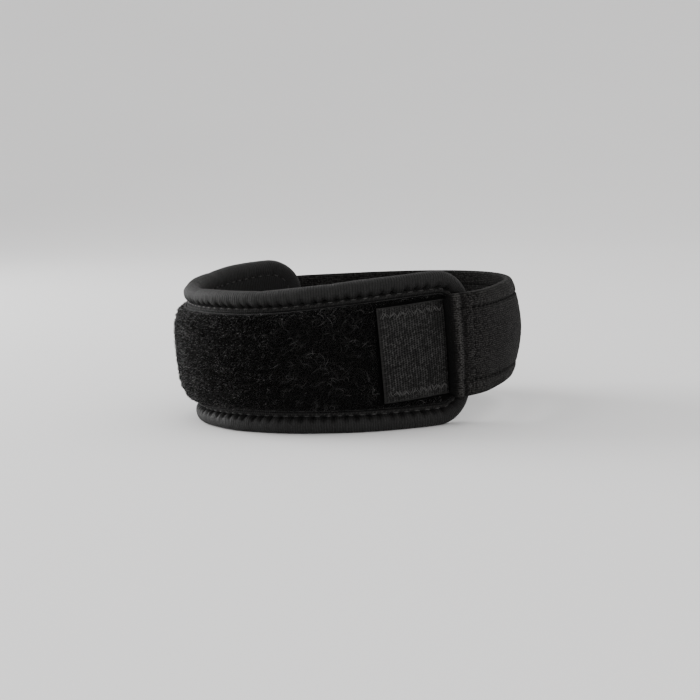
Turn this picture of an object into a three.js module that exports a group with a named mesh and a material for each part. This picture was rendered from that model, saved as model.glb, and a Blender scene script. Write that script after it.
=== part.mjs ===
// Patellar strap: a padded front band and the strap that closes it into a loop, shown fastened.
// Millimetres, +Z up. The band's front faces -Y, and the loop stands on the band's lower rim.
// Every piece is cut flat, as columns along the loop and rows across it, and then laid round the loop.
// A bearing is an angle round the loop, in degrees from the front, growing towards +X.

import * as THREE from "three";
import { mergeVertices } from "three/addons/utils/BufferGeometryUtils.js";

// Loop: the oval of its inner face at mid height, and the slopes of its wall
const loopHalfWidth = 48.6;
const loopHalfDepth = 53.9;
const loopMidHeight = 25;
const wallFlareDegrees = 2.3;
const forwardLeanDegrees = 1.4;
const pieceGap = 0.35;

// Pad: the bearing of each end, its round corners and the grid that it is cut in
const padEndBearing = 101;
const padCornerRadius = 12.5;
const padHalfHeight = 24;
const padColumnStep = 5.2;
const padTop = [
  { bearing: 0, height: 47 },
  { bearing: 30, height: 47.4 },
  { bearing: 55, height: 49.3 },
  { bearing: 82, height: 51.2 },
  { bearing: 105, height: 51.3 },
];
const padBulge = [
  { bearing: 0, bulge: 4.6 },
  { bearing: 36, bulge: 4.3 },
  { bearing: 62, bulge: 1.7 },
  { bearing: 86, bulge: 0.6 },
  { bearing: 105, bulge: 0.5 },
];
// Section from the edge inwards: the rolled rim, the sewn groove and the filling, with its share of the bulge
const padSection = [
  { inset: 0, inner: 2, outer: 4.4, swell: 0 },
  { inset: 0.8, inner: 0.6, outer: 5.8, swell: 0 },
  { inset: 2.4, inner: 0, outer: 6.4, swell: 0 },
  { inset: 4.2, inner: 0, outer: 6.1, swell: 0 },
  { inset: 5.6, inner: 0, outer: 4.6, swell: 0 },
  { inset: 6.6, inner: 0, outer: 3.9, swell: 0 },
  { inset: 8.8, inner: 0, outer: 3.9, swell: 0.5 },
  { inset: 13.5, inner: 0, outer: 3.9, swell: 0.9 },
  { inset: padHalfHeight, inner: 0, outer: 3.9, swell: 1 },
];

// Loop panel: pile fabric sewn on inside the rims, thin along its sewn edge
const panelInset = 7.5;
const panelSection = [
  { inset: 0, thickness: 0.8 },
  { inset: 1.3, thickness: 0.9 },
  { inset: 5.8, thickness: 1.3 },
  { inset: padHalfHeight - panelInset, thickness: 1.3 },
];

// Strap: its ends, and the grid that it is cut in
const strapWidth = 34.4;
const strapNearBearing = 87.3;
const strapFarBearing = 271;
const strapCornerRadius = 2.5;
const strapColumnStep = 5;
const columnLeanShare = 0.8;
// Path by bearing: the height of the strap's middle line, its inner face's distance from the loop's oval,
// and how far its middle crowns past its edges
const strapPath = [
  { bearing: 60, level: 25, offset: 8.1, crown: 0.6 },
  { bearing: 88, level: 26.6, offset: 8.1, crown: 0.6 },
  { bearing: 96, level: 26.8, offset: 8, crown: 0.6 },
  { bearing: 102, level: 26.9, offset: 6.9, crown: 0.9 },
  { bearing: 108, level: 27, offset: 4.9, crown: 1.6 },
  { bearing: 116, level: 27.1, offset: 2.6, crown: 2.4 },
  { bearing: 130, level: 27.3, offset: 0.6, crown: 3 },
  { bearing: 180, level: 27.6, offset: 0.4, crown: 3.2 },
  { bearing: 230, level: 27.3, offset: 0.6, crown: 3 },
  { bearing: 244, level: 27.1, offset: 2.6, crown: 2.4 },
  { bearing: 252, level: 27, offset: 4.9, crown: 1.6 },
  { bearing: 258, level: 26.9, offset: 6.6, crown: 0.9 },
  { bearing: 264, level: 26.8, offset: 6.9, crown: 0.6 },
  { bearing: 280, level: 26.4, offset: 6.7, crown: 0.6 },
];
// Section from the edge inwards: rounded edge, hem and stitch line
const strapSection = [
  { inset: 0, inner: 0.8, outer: 1.9 },
  { inset: 0.7, inner: 0.2, outer: 2.6 },
  { inset: 2.2, inner: 0, outer: 2.8 },
  { inset: 5.2, inner: 0, outer: 2.4 },
  { inset: 7, inner: 0, outer: 2.8 },
  { inset: strapWidth / 2, inner: 0, outer: 3 },
];
// Folded hem at the free end: how far it stands above the strap, by distance from the end
const strapEndHem = [
  { reach: 0, raise: 0.5 },
  { reach: 0.7, raise: 0.7 },
  { reach: 1.7, raise: 0.8 },
  { reach: 3, raise: 0.4 },
  { reach: 4.2, raise: -0.3 },
  { reach: 6.5, raise: 0 },
];

// Hook tab: on the strap's middle line, from its free edge to under the strap's end
const tabFreeBearing = 65.4;
const tabHeldBearing = 93.5;
const tabHeight = 31.2;
const tabThickness = 1.1;
const tabEdgeDrop = 0.5;
const tabColumnStep = 3;
const tabRowCount = 6;

const knitFinish = { color: 0x17181a, roughness: 0.85, metalness: 0 };
const pileFinish = { color: 0x0b0b0c, roughness: 1, metalness: 0 };
const tapeFinish = { color: 0x262524, roughness: 0.8, metalness: 0 };

const { degToRad, radToDeg, lerp } = THREE.MathUtils;
const loopRadius = (loopHalfWidth + loopHalfDepth) / 2;

// Reads one column of a table at any place along another, by straight steps or smoothly
function tableColumn(table, along, column, Interpolant = THREE.LinearInterpolant) {
  const places = table.map((row) => row[along]);
  const values = table.map((row) => row[column]);
  const reader = new Interpolant(places, values, 1, new Float32Array(1));
  reader.settings = { endingStart: THREE.ZeroSlopeEnding, endingEnd: THREE.ZeroSlopeEnding };
  return (place) => reader.evaluate(place)[0];
}

// A point of the loop, by its bearing, its height and its distance outside the oval
function onLoop(bearing, height, offset) {
  const turn = degToRad(bearing);
  const lift = height - loopMidHeight;
  const out = new THREE.Vector3(loopHalfDepth * Math.sin(turn), -loopHalfWidth * Math.cos(turn), 0);
  out.setLength(offset + lift * Math.tan(degToRad(wallFlareDegrees)));
  const oval = new THREE.Vector3(loopHalfWidth * Math.sin(turn), -loopHalfDepth * Math.cos(turn), height);
  const lean = new THREE.Vector3(0, -lift * Math.tan(degToRad(forwardLeanDegrees)), 0);
  return oval.add(lean).add(out);
}

// Distance round the loop, as an angle
function asBearing(distance) {
  return radToDeg(distance / loopRadius);
}

// How far a round corner cuts in from the long edge, at a distance from the end
function cornerCut(radius, reach) {
  const inward = Math.max(radius - reach, 0);
  return radius - Math.sqrt(radius * radius - inward * inward);
}

// Distance inwards from an outline with round corners, by the distances to its end and its nearer edge
function insetFrom(radius, reach, edge) {
  if (reach < radius && edge < radius) {
    return radius - Math.hypot(radius - reach, radius - edge);
  }
  return Math.min(reach, edge);
}

// Grid lines: those given at each end, and even ones between them
function gridLines(length, endLines, step) {
  const last = endLines[endLines.length - 1];
  const count = Math.round((length - 2 * last) / step);
  const between = Array.from({ length: count - 1 }, (_, i) => lerp(last, length - last, (i + 1) / count));
  const farLines = endLines.map((line) => length - line).reverse();
  return [...endLines, ...between, ...farLines];
}

// Rows across a piece, from -1 at its lower edge to 1 at its upper edge, at the insets of its section
function sectionRows(section) {
  const half = section[section.length - 1].inset;
  const lower = section.map((row) => row.inset / half - 1);
  const upper = lower.slice(0, -1).map((row) => -row);
  return [...lower, ...upper.reverse()];
}

// A closed piece with an inner and an outer face, whose grid points are placed one by one
function gridSolid(columns, rows, place) {
  const across = columns.length - 1;
  const up = rows.length - 1;
  const box = new THREE.BoxGeometry(across, up, 1, across, up, 1);
  box.translate(across / 2, up / 2, 0.5);
  const points = box.attributes.position;
  for (let i = 0; i < points.count; i += 1) {
    const column = columns[Math.round(points.getX(i))];
    const row = rows[Math.round(points.getY(i))];
    const isOuter = points.getZ(i) > 0.5;
    const point = place(column, row, isOuter);
    points.setXYZ(i, point.x, point.y, point.z);
  }
  box.deleteAttribute("normal");
  box.deleteAttribute("uv");
  return mergeVertices(box);
}

const padTopHeight = tableColumn(padTop, "bearing", "height", THREE.CubicInterpolant);
const padBulgeAt = tableColumn(padBulge, "bearing", "bulge", THREE.CubicInterpolant);
const padInner = tableColumn(padSection, "inset", "inner");
const padOuter = tableColumn(padSection, "inset", "outer");
const padSwell = tableColumn(padSection, "inset", "swell");

// The pad's outer face, by bearing and distance from the pad's outline
function padFace(bearing, inset) {
  return padOuter(inset) + padSwell(inset) * padBulgeAt(Math.abs(bearing));
}

// A place inside a margin of the pad's outline: its bearing, its height and its distance from that margin
function padPlace(margin, column, row) {
  const length = 2 * padEndBearing - 2 * asBearing(margin);
  const bearing = asBearing(column) - length / 2;
  const reach = Math.min(column, degToRad(length) * loopRadius - column);
  const radius = padCornerRadius - margin;
  const lower = margin;
  const upper = padTopHeight(Math.abs(bearing)) - margin;
  const half = (upper - lower) / 2 - cornerCut(radius, reach);
  const height = (upper + lower) / 2 + row * half;
  const inset = insetFrom(radius, reach, Math.min(height - lower, upper - height));
  return { bearing, height, inset: Math.max(inset, 0) };
}

function padLength(margin) {
  return degToRad(2 * padEndBearing) * loopRadius - 2 * margin;
}

function padGeometry() {
  const endLines = padSection.slice(0, -1).map((row) => row.inset);
  const columns = gridLines(padLength(0), endLines, padColumnStep);
  return gridSolid(columns, sectionRows(padSection), (column, row, isOuter) => {
    const { bearing, height, inset } = padPlace(0, column, row);
    return onLoop(bearing, height, isOuter ? padFace(bearing, inset) : padInner(inset));
  });
}

const panelThickness = tableColumn(panelSection, "inset", "thickness");

// The panel's faces, by bearing and distance from the panel's own outline
function panelInnerFace(bearing, inset) {
  return padFace(bearing, panelInset + inset) + pieceGap;
}

function panelOuterFace(bearing, inset) {
  return panelInnerFace(bearing, inset) + panelThickness(inset);
}

function panelGeometry() {
  const endLines = panelSection.slice(0, -1).map((row) => row.inset);
  const columns = gridLines(padLength(panelInset), endLines, padColumnStep);
  return gridSolid(columns, sectionRows(panelSection), (column, row, isOuter) => {
    const { bearing, height, inset } = padPlace(panelInset, column, row);
    const face = isOuter ? panelOuterFace : panelInnerFace;
    return onLoop(bearing, height, face(bearing, inset));
  });
}

const strapLevel = tableColumn(strapPath, "bearing", "level", THREE.CubicInterpolant);

// A place beside the strap's middle line, on columns that lean with the line's slope
function strapPlace(bearing, across) {
  const slope = (strapLevel(bearing + 1) - strapLevel(bearing - 1)) / (degToRad(2) * loopRadius);
  const lean = asBearing(across * slope * columnLeanShare);
  return { bearing: bearing - lean, height: strapLevel(bearing) + across };
}

const strapOffset = tableColumn(strapPath, "bearing", "offset", THREE.CubicInterpolant);
const strapCrown = tableColumn(strapPath, "bearing", "crown", THREE.CubicInterpolant);
const strapInner = tableColumn(strapSection, "inset", "inner");
const strapOuter = tableColumn(strapSection, "inset", "outer");
const strapHemRaise = tableColumn(strapEndHem, "reach", "raise");

function strapGeometry() {
  const length = degToRad(strapFarBearing - strapNearBearing) * loopRadius;
  const endLines = strapEndHem.map((row) => row.reach);
  const columns = gridLines(length, endLines, strapColumnStep);
  return gridSolid(columns, sectionRows(strapSection), (column, row, isOuter) => {
    const reach = Math.min(column, length - column);
    const half = strapWidth / 2 - cornerCut(strapCornerRadius, reach);
    const across = row * half;
    const { bearing, height } = strapPlace(strapNearBearing + asBearing(column), across);
    const inset = Math.max(insetFrom(strapCornerRadius, reach, strapWidth / 2 - Math.abs(across)), 0);
    const share = across / (strapWidth / 2);
    const base = strapOffset(bearing) + strapCrown(bearing) * (1 - share * share);
    const raised = strapOuter(inset) + strapHemRaise(column);
    return onLoop(bearing, height, base + (isOuter ? raised : strapInner(inset)));
  });
}

function tabGeometry() {
  const length = degToRad(tabHeldBearing - tabFreeBearing) * loopRadius;
  const columns = gridLines(length, [0], tabColumnStep);
  const rows = Array.from({ length: tabRowCount + 1 }, (_, i) => (2 * i) / tabRowCount - 1);
  const panelMiddle = padHalfHeight - panelInset;
  return gridSolid(columns, rows, (column, row, isOuter) => {
    const { bearing, height } = strapPlace(tabFreeBearing + asBearing(column), (row * tabHeight) / 2);
    const inner = panelOuterFace(bearing, panelMiddle) + pieceGap - tabEdgeDrop * row * row;
    return onLoop(bearing, height, isOuter ? inner + tabThickness : inner);
  });
}

const pieces = [
  { name: "pad", geometry: padGeometry(), finish: knitFinish },
  { name: "loop_panel", geometry: panelGeometry(), finish: pileFinish },
  { name: "strap", geometry: strapGeometry(), finish: knitFinish },
  { name: "hook_tab", geometry: tabGeometry(), finish: tapeFinish },
];

const patellarStrap = new THREE.Group();
for (const { name, geometry, finish } of pieces) {
  const mesh = new THREE.Mesh(geometry, new THREE.MeshStandardMaterial(finish));
  mesh.name = name;
  patellarStrap.add(mesh);
}

// The origin is below the middle of the whole loop, at the height of the lower rim
const middle = new THREE.Box3().setFromObject(patellarStrap).getCenter(new THREE.Vector3());
patellarStrap.position.set(-middle.x, -middle.y, 0);

export default patellarStrap;
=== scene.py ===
import math

import bmesh
import bpy
import numpy as np
from mathutils import Matrix, Vector


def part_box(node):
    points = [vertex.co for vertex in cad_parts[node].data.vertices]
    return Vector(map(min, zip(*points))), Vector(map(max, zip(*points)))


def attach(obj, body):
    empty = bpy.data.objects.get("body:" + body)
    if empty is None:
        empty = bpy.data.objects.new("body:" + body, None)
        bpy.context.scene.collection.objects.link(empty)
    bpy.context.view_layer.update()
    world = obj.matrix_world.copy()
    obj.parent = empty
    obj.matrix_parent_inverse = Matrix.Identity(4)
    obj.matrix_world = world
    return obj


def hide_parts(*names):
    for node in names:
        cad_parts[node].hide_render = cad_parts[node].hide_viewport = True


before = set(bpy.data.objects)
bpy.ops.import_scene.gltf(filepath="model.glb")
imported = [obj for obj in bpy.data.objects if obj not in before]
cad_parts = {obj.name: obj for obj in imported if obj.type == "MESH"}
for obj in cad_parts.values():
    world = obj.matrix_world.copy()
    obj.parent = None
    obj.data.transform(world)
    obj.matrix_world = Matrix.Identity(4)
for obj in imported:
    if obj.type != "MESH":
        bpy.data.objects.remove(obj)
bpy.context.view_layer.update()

# Lengths are in millimetres until a point goes into a mesh, and bearings are in degrees from the pad's front.
millimetre = 0.001
tiny = 1e-12  # keeps a division by a length safe
loop = {
    "halfWidth": 48.6,  # the oval of the loop's inner face
    "halfDepth": 53.9,
    "midHeight": 25.0,
    "flare": 2.3,  # how far the wall opens upwards, in degrees
    "lean": 1.4,  # how far the loop tips forwards, in degrees
    "gap": 0.35,  # between neighbouring pieces
}
loopRadius = (loop["halfWidth"] + loop["halfDepth"]) / 2
flareSlope, leanSlope = (math.tan(math.radians(loop[name])) for name in ("flare", "lean"))
print("frame loaded, loop radius", loopRadius)


# Readers of short tables, by straight steps or smoothly
def stepTable(rows):
    places, values = np.array(rows, float).T
    return lambda place: np.interp(place, places, values)


def smoothTable(rows):
    places, values = np.array(rows, float).T
    gaps = np.diff(places)
    secants = np.diff(values) / gaps
    slopes = np.zeros(len(places))
    slopes[1:-1] = (secants[:-1] + secants[1:]) / 2

    def read(place):
        place = np.clip(place, places[0], places[-1])
        i = np.clip(np.searchsorted(places, place) - 1, 0, len(gaps) - 1)
        t = (place - places[i]) / gaps[i]
        bend = slopes[i] * gaps[i], slopes[i + 1] * gaps[i]
        curve = (2 * t**3 - 3 * t**2 + 1) * values[i] + (3 * t**2 - 2 * t**3) * values[i + 1]
        return curve + (t**3 - 2 * t**2 + t) * bend[0] + (t**3 - t**2) * bend[1]

    return read


# Points of the loop, by bearing, height and distance outside the oval
def onLoop(bearing, height, offset):
    turn = np.radians(bearing)
    lift = np.asarray(height) - loop["midHeight"]
    outX, outY = loop["halfDepth"] * np.sin(turn), -loop["halfWidth"] * np.cos(turn)
    far = (offset + lift * flareSlope) / np.hypot(outX, outY)
    x = loop["halfWidth"] * np.sin(turn) + outX * far
    y = -loop["halfDepth"] * np.cos(turn) + outY * far - lift * leanSlope
    return np.stack(np.broadcast_arrays(x, y, np.asarray(height, float)), axis=-1)


def asBearing(distance):
    return np.degrees(distance / loopRadius)


# Slow waves that make cloth uneven: a few sines in set directions, from about -1 to 1
def ripple(along, across, wavelength, seed):
    draw = np.random.default_rng(seed)
    total = np.zeros(np.broadcast(along, across).shape)
    waveCount, stretchRange = 7, (0.7, 1.4)
    for _ in range(waveCount):
        heading, phase = draw.uniform(0, 2 * math.pi, 2)
        stretch = draw.uniform(*stretchRange) * wavelength
        wave = (along * math.cos(heading) + across * math.sin(heading)) / stretch
        total = total + np.sin(2 * math.pi * wave + phase)
    return total / math.sqrt(2 * waveCount)


# Several of them at once, each by its height, wavelength and seed
def ripples(along, across, *parts):
    return sum(height * ripple(along, across, wavelength, seed) for height, wavelength, seed in parts)


def bell(distance, width):
    return np.exp(-((distance / width) ** 2))


# A soft mound or dent: its height, its place and its width
def mound(distance, height, place, width):
    return height * bell(distance - place, width)


# A rise from 0 to 1: where it starts and how wide it is
def ramp(distance, start, width):
    return np.clip((distance - start) / width, 0, 1)


# How round an edge is: 0 at the edge and 1 once the inset reaches the radius
def edgeRound(inset, radius, power=2.0):
    share = np.clip(1 - inset / radius, 0, 1)
    return (1 - share**power) ** (1 / power)


# Distance inside an outline with round corners, from the distances to its end and to its side
def cornerInset(radius, reach, edge):
    inCorner = (reach < radius) & (edge < radius)
    return np.where(inCorner, radius - np.hypot(radius - reach, radius - edge), np.minimum(reach, edge))


# Pad: the band's flat cut, with its rolled rim, its sewn seam and its filling
pad = {
    "endBearing": 101.0,
    "cornerRadius": 12.5,
    "halfHeight": 24.0,
    "top": [(0, 47), (30, 47.4), (55, 49.3), (82, 51.2), (105, 51.3)],  # bearing and height
    "bulge": [(0, 4.6), (36, 4.3), (62, 1.7), (86, 0.6), (105, 0.5)],  # bearing and height of the filling
    "swell": [(6.6, 0), (8.8, 0.5), (13.5, 0.9), (24, 1)],  # inset and share of that
    "fillThick": 3.9,
    "rimThick": 6.1,
    "rimCrest": 2.7,  # inset of the rim's highest line
    "rimFall": 2.3,  # how squarely the rim falls to its seam
    "uneven": [(0.2, 17, 3), (0.07, 5.5, 4)],  # height, wavelength and seed
    "unevenReach": 2.0,  # how far from the seam it is in full
    "unevenInside": 0.4,  # its share on the inner face
    "waver": (0.16, 30, 8),  # the same, for the outline
    "waverReach": 3.0,  # how far inwards it fades
    "waverClear": 4.0,  # how high above the floor it starts
    "restFlat": (0.14, 0.0, 2.0),  # how far the lower rim is pressed flat, at what height and how wide
    "seamInset": 5.6,
    "seamThick": 3.3,
    "seamDeepest": 1.1,  # no stitch pulls the rim further below the seam
    "stitchPitch": 3.4,
    "stitchPull": (0.65, 1.3),  # the weakest and the strongest
    "stitchStray": 0.16,  # as a share of the pitch
    "pullIn": 0.75,  # how far a stitch draws the cover to the seam
    "pullWide": 0.6,
    "pucker": 0.65,  # how deep a stitch pulls the rim in
    "puckerWide": 1.2,
    "puckerReach": 1.3,  # how far up the rim that fades
    "hole": (1.8, 0.35, 0.7),  # depth, distance from the seam and height
    "holeWide": 0.5,
    "stripRaise": 0.5,  # the flat strip between the seam and the panel, above the filling
    "stripStep": 0.5,  # how wide its step up from the seam is
    "stripDent": (0.3, 0.3, 0.5),  # depth, distance from the seam and width
    "stripEnd": 7.05,
    "stripFall": 0.9,  # how deep its edge is
    "stripFallWide": 0.25,
    "underPanel": 0.2,  # how far inside the panel's edge, and how deep, it goes under
    "innerGroove": (0.5, 0.0, 0.8),  # on the inner face: depth, distance from the seam and width
    "holeShade": (0.9, 0.35, 0.9),  # painted shade in the stitch holes: how dark, distance from the seam and height
    "holeShadeWide": 0.95,
    "seamShade": (0.405, 0.1, 0.5),  # painted shade along the seam's crease: how dark, distance from the seam and height
    "stripShade": 0.65,  # how dark the strip is
    "stripShadeFrom": 0.2,  # and from where
    "stripGrain": (0.4, 1.3, 9),
    # painted shade beyond the strip's fall, in the groove and under the panel's edge
    "fallShade": 0.6,
    "columnStep": 0.42,
}
panelInset = 7.5  # where the loop panel starts inside the pad's outline
padTop = smoothTable(pad["top"])
padBulge = smoothTable(pad["bulge"])
padSwell = stepTable(pad["swell"])
padLength = math.radians(2 * pad["endBearing"]) * loopRadius


def padBearing(x):
    return asBearing(x) - pad["endBearing"]


def padTopAt(x):
    return padTop(np.abs(padBearing(x)))


def padInset(x, z):
    return cornerInset(pad["cornerRadius"], np.minimum(x, padLength - x), np.minimum(z, padTopAt(x) - z))


def padFace(x, inset):
    return pad["fillThick"] + padSwell(inset) * padBulge(np.abs(padBearing(x)))


# The oval's centre in the frame, found from the pad's box
padLow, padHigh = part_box("pad")
frontPoint = onLoop(0, float(padTop(0)) / 2, padFace(padLength / 2, pad["halfHeight"]))
loopCentre = np.array([(padLow[0] + padHigh[0]) / 2, padLow[1] - frontPoint[1] * millimetre, 0])


def toFrame(points):
    return points * millimetre + loopCentre


# Places on the pad's flat cut, laid round the loop
def onPad(x, z, offset):
    return toFrame(onLoop(padBearing(x), z, offset))


# Which way is out at places that one of these functions lays round the loop
def outwardAt(laying, *places):
    return (laying(*places, 1.0) - laying(*places, 0.0)) / millimetre


# A closed outline inside a margin of the pad's own: places and inward directions
def padOutline(margin, step):
    radius = pad["cornerRadius"] - margin
    left, right, low = margin, padLength - margin, margin
    high = float(padTopAt(left + radius)) - margin
    longCount = round((right - left - 2 * radius) / step)
    endCount = round((high - low - 2 * radius) / step)
    cornerCount = round(radius * math.pi / 2 / step)
    bottomX = np.linspace(left + radius, right - radius, longCount + 1)[:-1]
    topX = np.linspace(right - radius, left + radius, longCount + 1)[:-1]
    upZ = np.linspace(low + radius, high - radius, endCount + 1)[:-1]
    downZ = np.linspace(high - radius, low + radius, endCount + 1)[:-1]

    def corner(x, z, startDegrees):
        turn = np.radians(startDegrees + np.linspace(0, 90, cornerCount + 1)[:-1])
        return x + radius * np.cos(turn), z + radius * np.sin(turn), -np.cos(turn), -np.sin(turn)

    def straight(x, z, inX, inZ):
        return np.broadcast_arrays(np.asarray(x, float), np.asarray(z, float), float(inX), float(inZ))

    runs = [
        straight(bottomX, low, 0, 1),
        corner(right - radius, low + radius, -90),
        straight(right, upZ, -1, 0),
        corner(right - radius, high - radius, 0),
        straight(topX, padTopAt(topX) - margin, 0, -1),
        corner(left + radius, high - radius, 90),
        straight(left, downZ, 1, 0),
        corner(left + radius, low + radius, 180),
    ]
    columns = [np.concatenate(column) for column in zip(*runs)]
    return {name: np.append(column, column[0]) for name, column in zip(("x", "z", "inX", "inZ"), columns)}


# A row inside an outline: by its inset, and then drawn by a share towards the pad's middle line
def ringPlaces(ring, inset, share=0.0):
    x = ring["x"] + ring["inX"] * inset
    z = ring["z"] + ring["inZ"] * inset
    middleX = np.clip(x, pad["halfHeight"], padLength - pad["halfHeight"])
    return x + (middleX - x) * share, z + (padTopAt(middleX) / 2 - z) * share


def alongOutline(ring, inset):
    x, z = ringPlaces(ring, inset)
    return np.concatenate([[0], np.cumsum(np.hypot(np.diff(x), np.diff(z)))])


padRing = padOutline(0, pad["columnStep"])
padSeamAlong = alongOutline(padRing, pad["seamInset"])
padStitchCount = round(padSeamAlong[-1] / pad["stitchPitch"])
padStitchDraw = np.random.default_rng(11)
padStitchPull = padStitchDraw.uniform(*pad["stitchPull"], padStitchCount)
padStitchShift = padStitchDraw.uniform(-pad["stitchStray"], pad["stitchStray"], padStitchCount)


# How strongly the nearest stitch pulls, by distance along the seam
def stitchPull(along, width):
    place = along / padSeamAlong[-1] * padStitchCount
    nearest = np.round(place).astype(int) % padStitchCount
    away = (place - np.round(place) - padStitchShift[nearest]) * pad["stitchPitch"]
    return padStitchPull[nearest] * bell(away, width)


# A grid made flat with bmesh, whose points are then placed by their column and row
def addGrid(mesh, columnCount, rowCount):
    made = bmesh.ops.create_grid(mesh, x_segments=columnCount - 1, y_segments=rowCount - 1, size=0.5)
    verts = made["verts"]
    flat = np.array([v.co[:2] for v in verts]) + 0.5
    column = np.round(flat[:, 0] * (columnCount - 1)).astype(int)
    row = np.round(flat[:, 1] * (rowCount - 1)).astype(int)
    return verts, column, row


def placeVerts(verts, points):
    for vert, point in zip(verts, points):
        vert.co = point


def setValues(verts, layer, values):
    for vert, value in zip(verts, values):
        vert[layer] = float(value)


# UV maps in millimetres, one pair of values for each vertex, given before any doubles are merged
def mapVerts(mesh, verts, name, places):
    layer = mesh.loops.layers.uv.get(name) or mesh.loops.layers.uv.new(name)
    spots = {vert: place for vert, place in zip(verts, places)}
    for face in {face for vert in verts for face in vert.link_faces}:
        for corner in face.loops:
            corner[layer].uv = spots[corner.vert]


# Joins edges that meet, and takes out the faces that have shrunk to nothing
def mergeEdges(mesh):
    meetWithin, shortest = 2e-6, 1e-7  # in metres
    bmesh.ops.remove_doubles(mesh, verts=mesh.verts, dist=meetWithin)
    bmesh.ops.dissolve_degenerate(mesh, dist=shortest, edges=mesh.edges)


# Turns an open sheet's faces away from the loop's middle, judged by one of them
def turnOutwards(mesh, number):
    mesh.faces.ensure_lookup_table()
    mesh.normal_update()
    face = mesh.faces[number]
    if face.normal.xy.dot(face.calc_center_median().xy) < 0:
        bmesh.ops.reverse_faces(mesh, faces=mesh.faces)


def linkPiece(name, data, materials):
    for material in materials:
        data.materials.append(material)
    piece = bpy.data.objects.new(name, data)
    bpy.context.collection.objects.link(piece)
    return piece


def finishMesh(mesh, name, materials):
    for face in mesh.faces:
        face.smooth = True
    data = bpy.data.meshes.new(name)
    mesh.to_mesh(data)
    mesh.free()
    return linkPiece(name, data, materials)


def finishArrays(points, faces, name, material):
    data = bpy.data.meshes.new(name)
    data.from_pydata(points.tolist(), [], faces)
    data.polygons.foreach_set("use_smooth", np.ones(len(data.polygons), bool))
    data.update()
    return linkPiece(name, data, [material])


def addBack(piece, thick):
    back = piece.modifiers.new("back", "SOLIDIFY")
    back.thickness = thick * millimetre
    back.offset = -1


# Small parts of a material's node tree
def feed(tree, socket, value):
    if isinstance(value, bpy.types.NodeSocket):
        tree.links.new(value, socket)
    else:
        socket.default_value = value


def addNode(tree, kind, values=None, **settings):
    made = tree.nodes.new(kind)
    for name, value in settings.items():
        setattr(made, name, value)
    for socket, value in (values or {}).items():
        feed(tree, made.inputs[socket], value)
    return made


def calc(tree, operation, first, second=None):
    made = addNode(tree, "ShaderNodeMath", {0: first}, operation=operation)
    if second is not None:
        feed(tree, made.inputs[1], second)
    return made.outputs[0]


def mixColour(tree, share, low, high):
    made = addNode(tree, "ShaderNodeMix", data_type="RGBA")
    for socket, value in (("Factor", share), (6, low), (7, high)):
        feed(tree, made.inputs[socket], value)
    return made.outputs[2]


# A node group with a vector and some numbers coming in, and some numbers going out
def newGroup(name, inputs, outputs):
    tree = bpy.data.node_groups.new(name, "ShaderNodeTree")
    tree.interface.new_socket("Vector", in_out="INPUT", socket_type="NodeSocketVector")
    for label in inputs:
        tree.interface.new_socket(label, in_out="INPUT", socket_type="NodeSocketFloat")
    for label in outputs:
        tree.interface.new_socket(label, in_out="OUTPUT", socket_type="NodeSocketFloat")
    return tree, tree.nodes.new("NodeGroupInput").outputs, tree.nodes.new("NodeGroupOutput").inputs


# Plain knit: upright ribs of small V stitches. Its vector is in millimetres.
knitForm = {
    "driftScale": 0.35,
    "driftDetail": 2.0,
    "sway": 0.9,  # how far the ribs wander
    "slant": 1.3,  # how steep the stitches' arms are
    "yarnShare": 0.45,  # how deep it is between stitches
}


def knitFaceGroup():
    tree, given, wanted = newGroup("knitFace", ["Wale", "Course"], ["Height"])
    noise = {"Scale": knitForm["driftScale"], "Detail": knitForm["driftDetail"]}
    drift = addNode(tree, "ShaderNodeTexNoise", {"Vector": given["Vector"], **noise})
    place = addNode(tree, "ShaderNodeSeparateXYZ", {"Vector": given["Vector"]})
    sway = calc(tree, "MULTIPLY", calc(tree, "SUBTRACT", drift.outputs["Fac"], 0.5), knitForm["sway"])
    across = calc(tree, "ADD", calc(tree, "DIVIDE", place.outputs["X"], given["Wale"]), sway)
    up = calc(tree, "DIVIDE", place.outputs["Y"], given["Course"])
    aside = calc(tree, "ABSOLUTE", calc(tree, "SUBTRACT", calc(tree, "FRACT", across), 0.5))
    rib = calc(tree, "SUBTRACT", 1.0, calc(tree, "POWER", calc(tree, "MULTIPLY", aside, 2.0), 2.0))
    slant = calc(tree, "ADD", up, calc(tree, "MULTIPLY", aside, knitForm["slant"]))
    yarn = calc(tree, "SINE", calc(tree, "MULTIPLY", calc(tree, "FRACT", slant), math.pi))
    raised = calc(tree, "MULTIPLY", yarn, knitForm["yarnShare"])
    raised = calc(tree, "ADD", raised, 1 - knitForm["yarnShare"])
    feed(tree, wanted["Height"], calc(tree, "MULTIPLY", rib, raised))
    return tree


# Handling marks: a slow fade over the cloth, its grain, and specks of lint. Its vector is in metres.
wearForm = {"fadeScale": 60.0, "fadeDetail": 4.0, "grainDetail": 3.0, "lintScale": 420.0}


def clothWearGroup():
    tree, given, wanted = newGroup("clothWear", ["Grain Scale", "Lint Size"], ["Fade", "Grain", "Lint"])
    noises = {
        "Fade": {"Scale": wearForm["fadeScale"], "Detail": wearForm["fadeDetail"]},
        "Grain": {"Scale": given["Grain Scale"], "Detail": wearForm["grainDetail"]},
    }
    for label, noise in noises.items():
        cloud = addNode(tree, "ShaderNodeTexNoise", {"Vector": given["Vector"], **noise})
        feed(tree, wanted[label], cloud.outputs["Fac"])
    specks = {"Vector": given["Vector"], "Scale": wearForm["lintScale"]}
    distance = addNode(tree, "ShaderNodeTexVoronoi", specks).outputs["Distance"]
    feed(tree, wanted["Lint"], calc(tree, "LESS_THAN", distance, given["Lint Size"]))
    return tree


knitFace = knitFaceGroup()
clothWear = clothWearGroup()


def newMaterial(name, shine):
    material = bpy.data.materials.new(name)
    material.use_nodes = True
    tree = material.node_tree
    shader = tree.nodes["Principled BSDF"]
    for socket, value in shine.items():
        shader.inputs[socket].default_value = value
    return material, tree, shader


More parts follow.
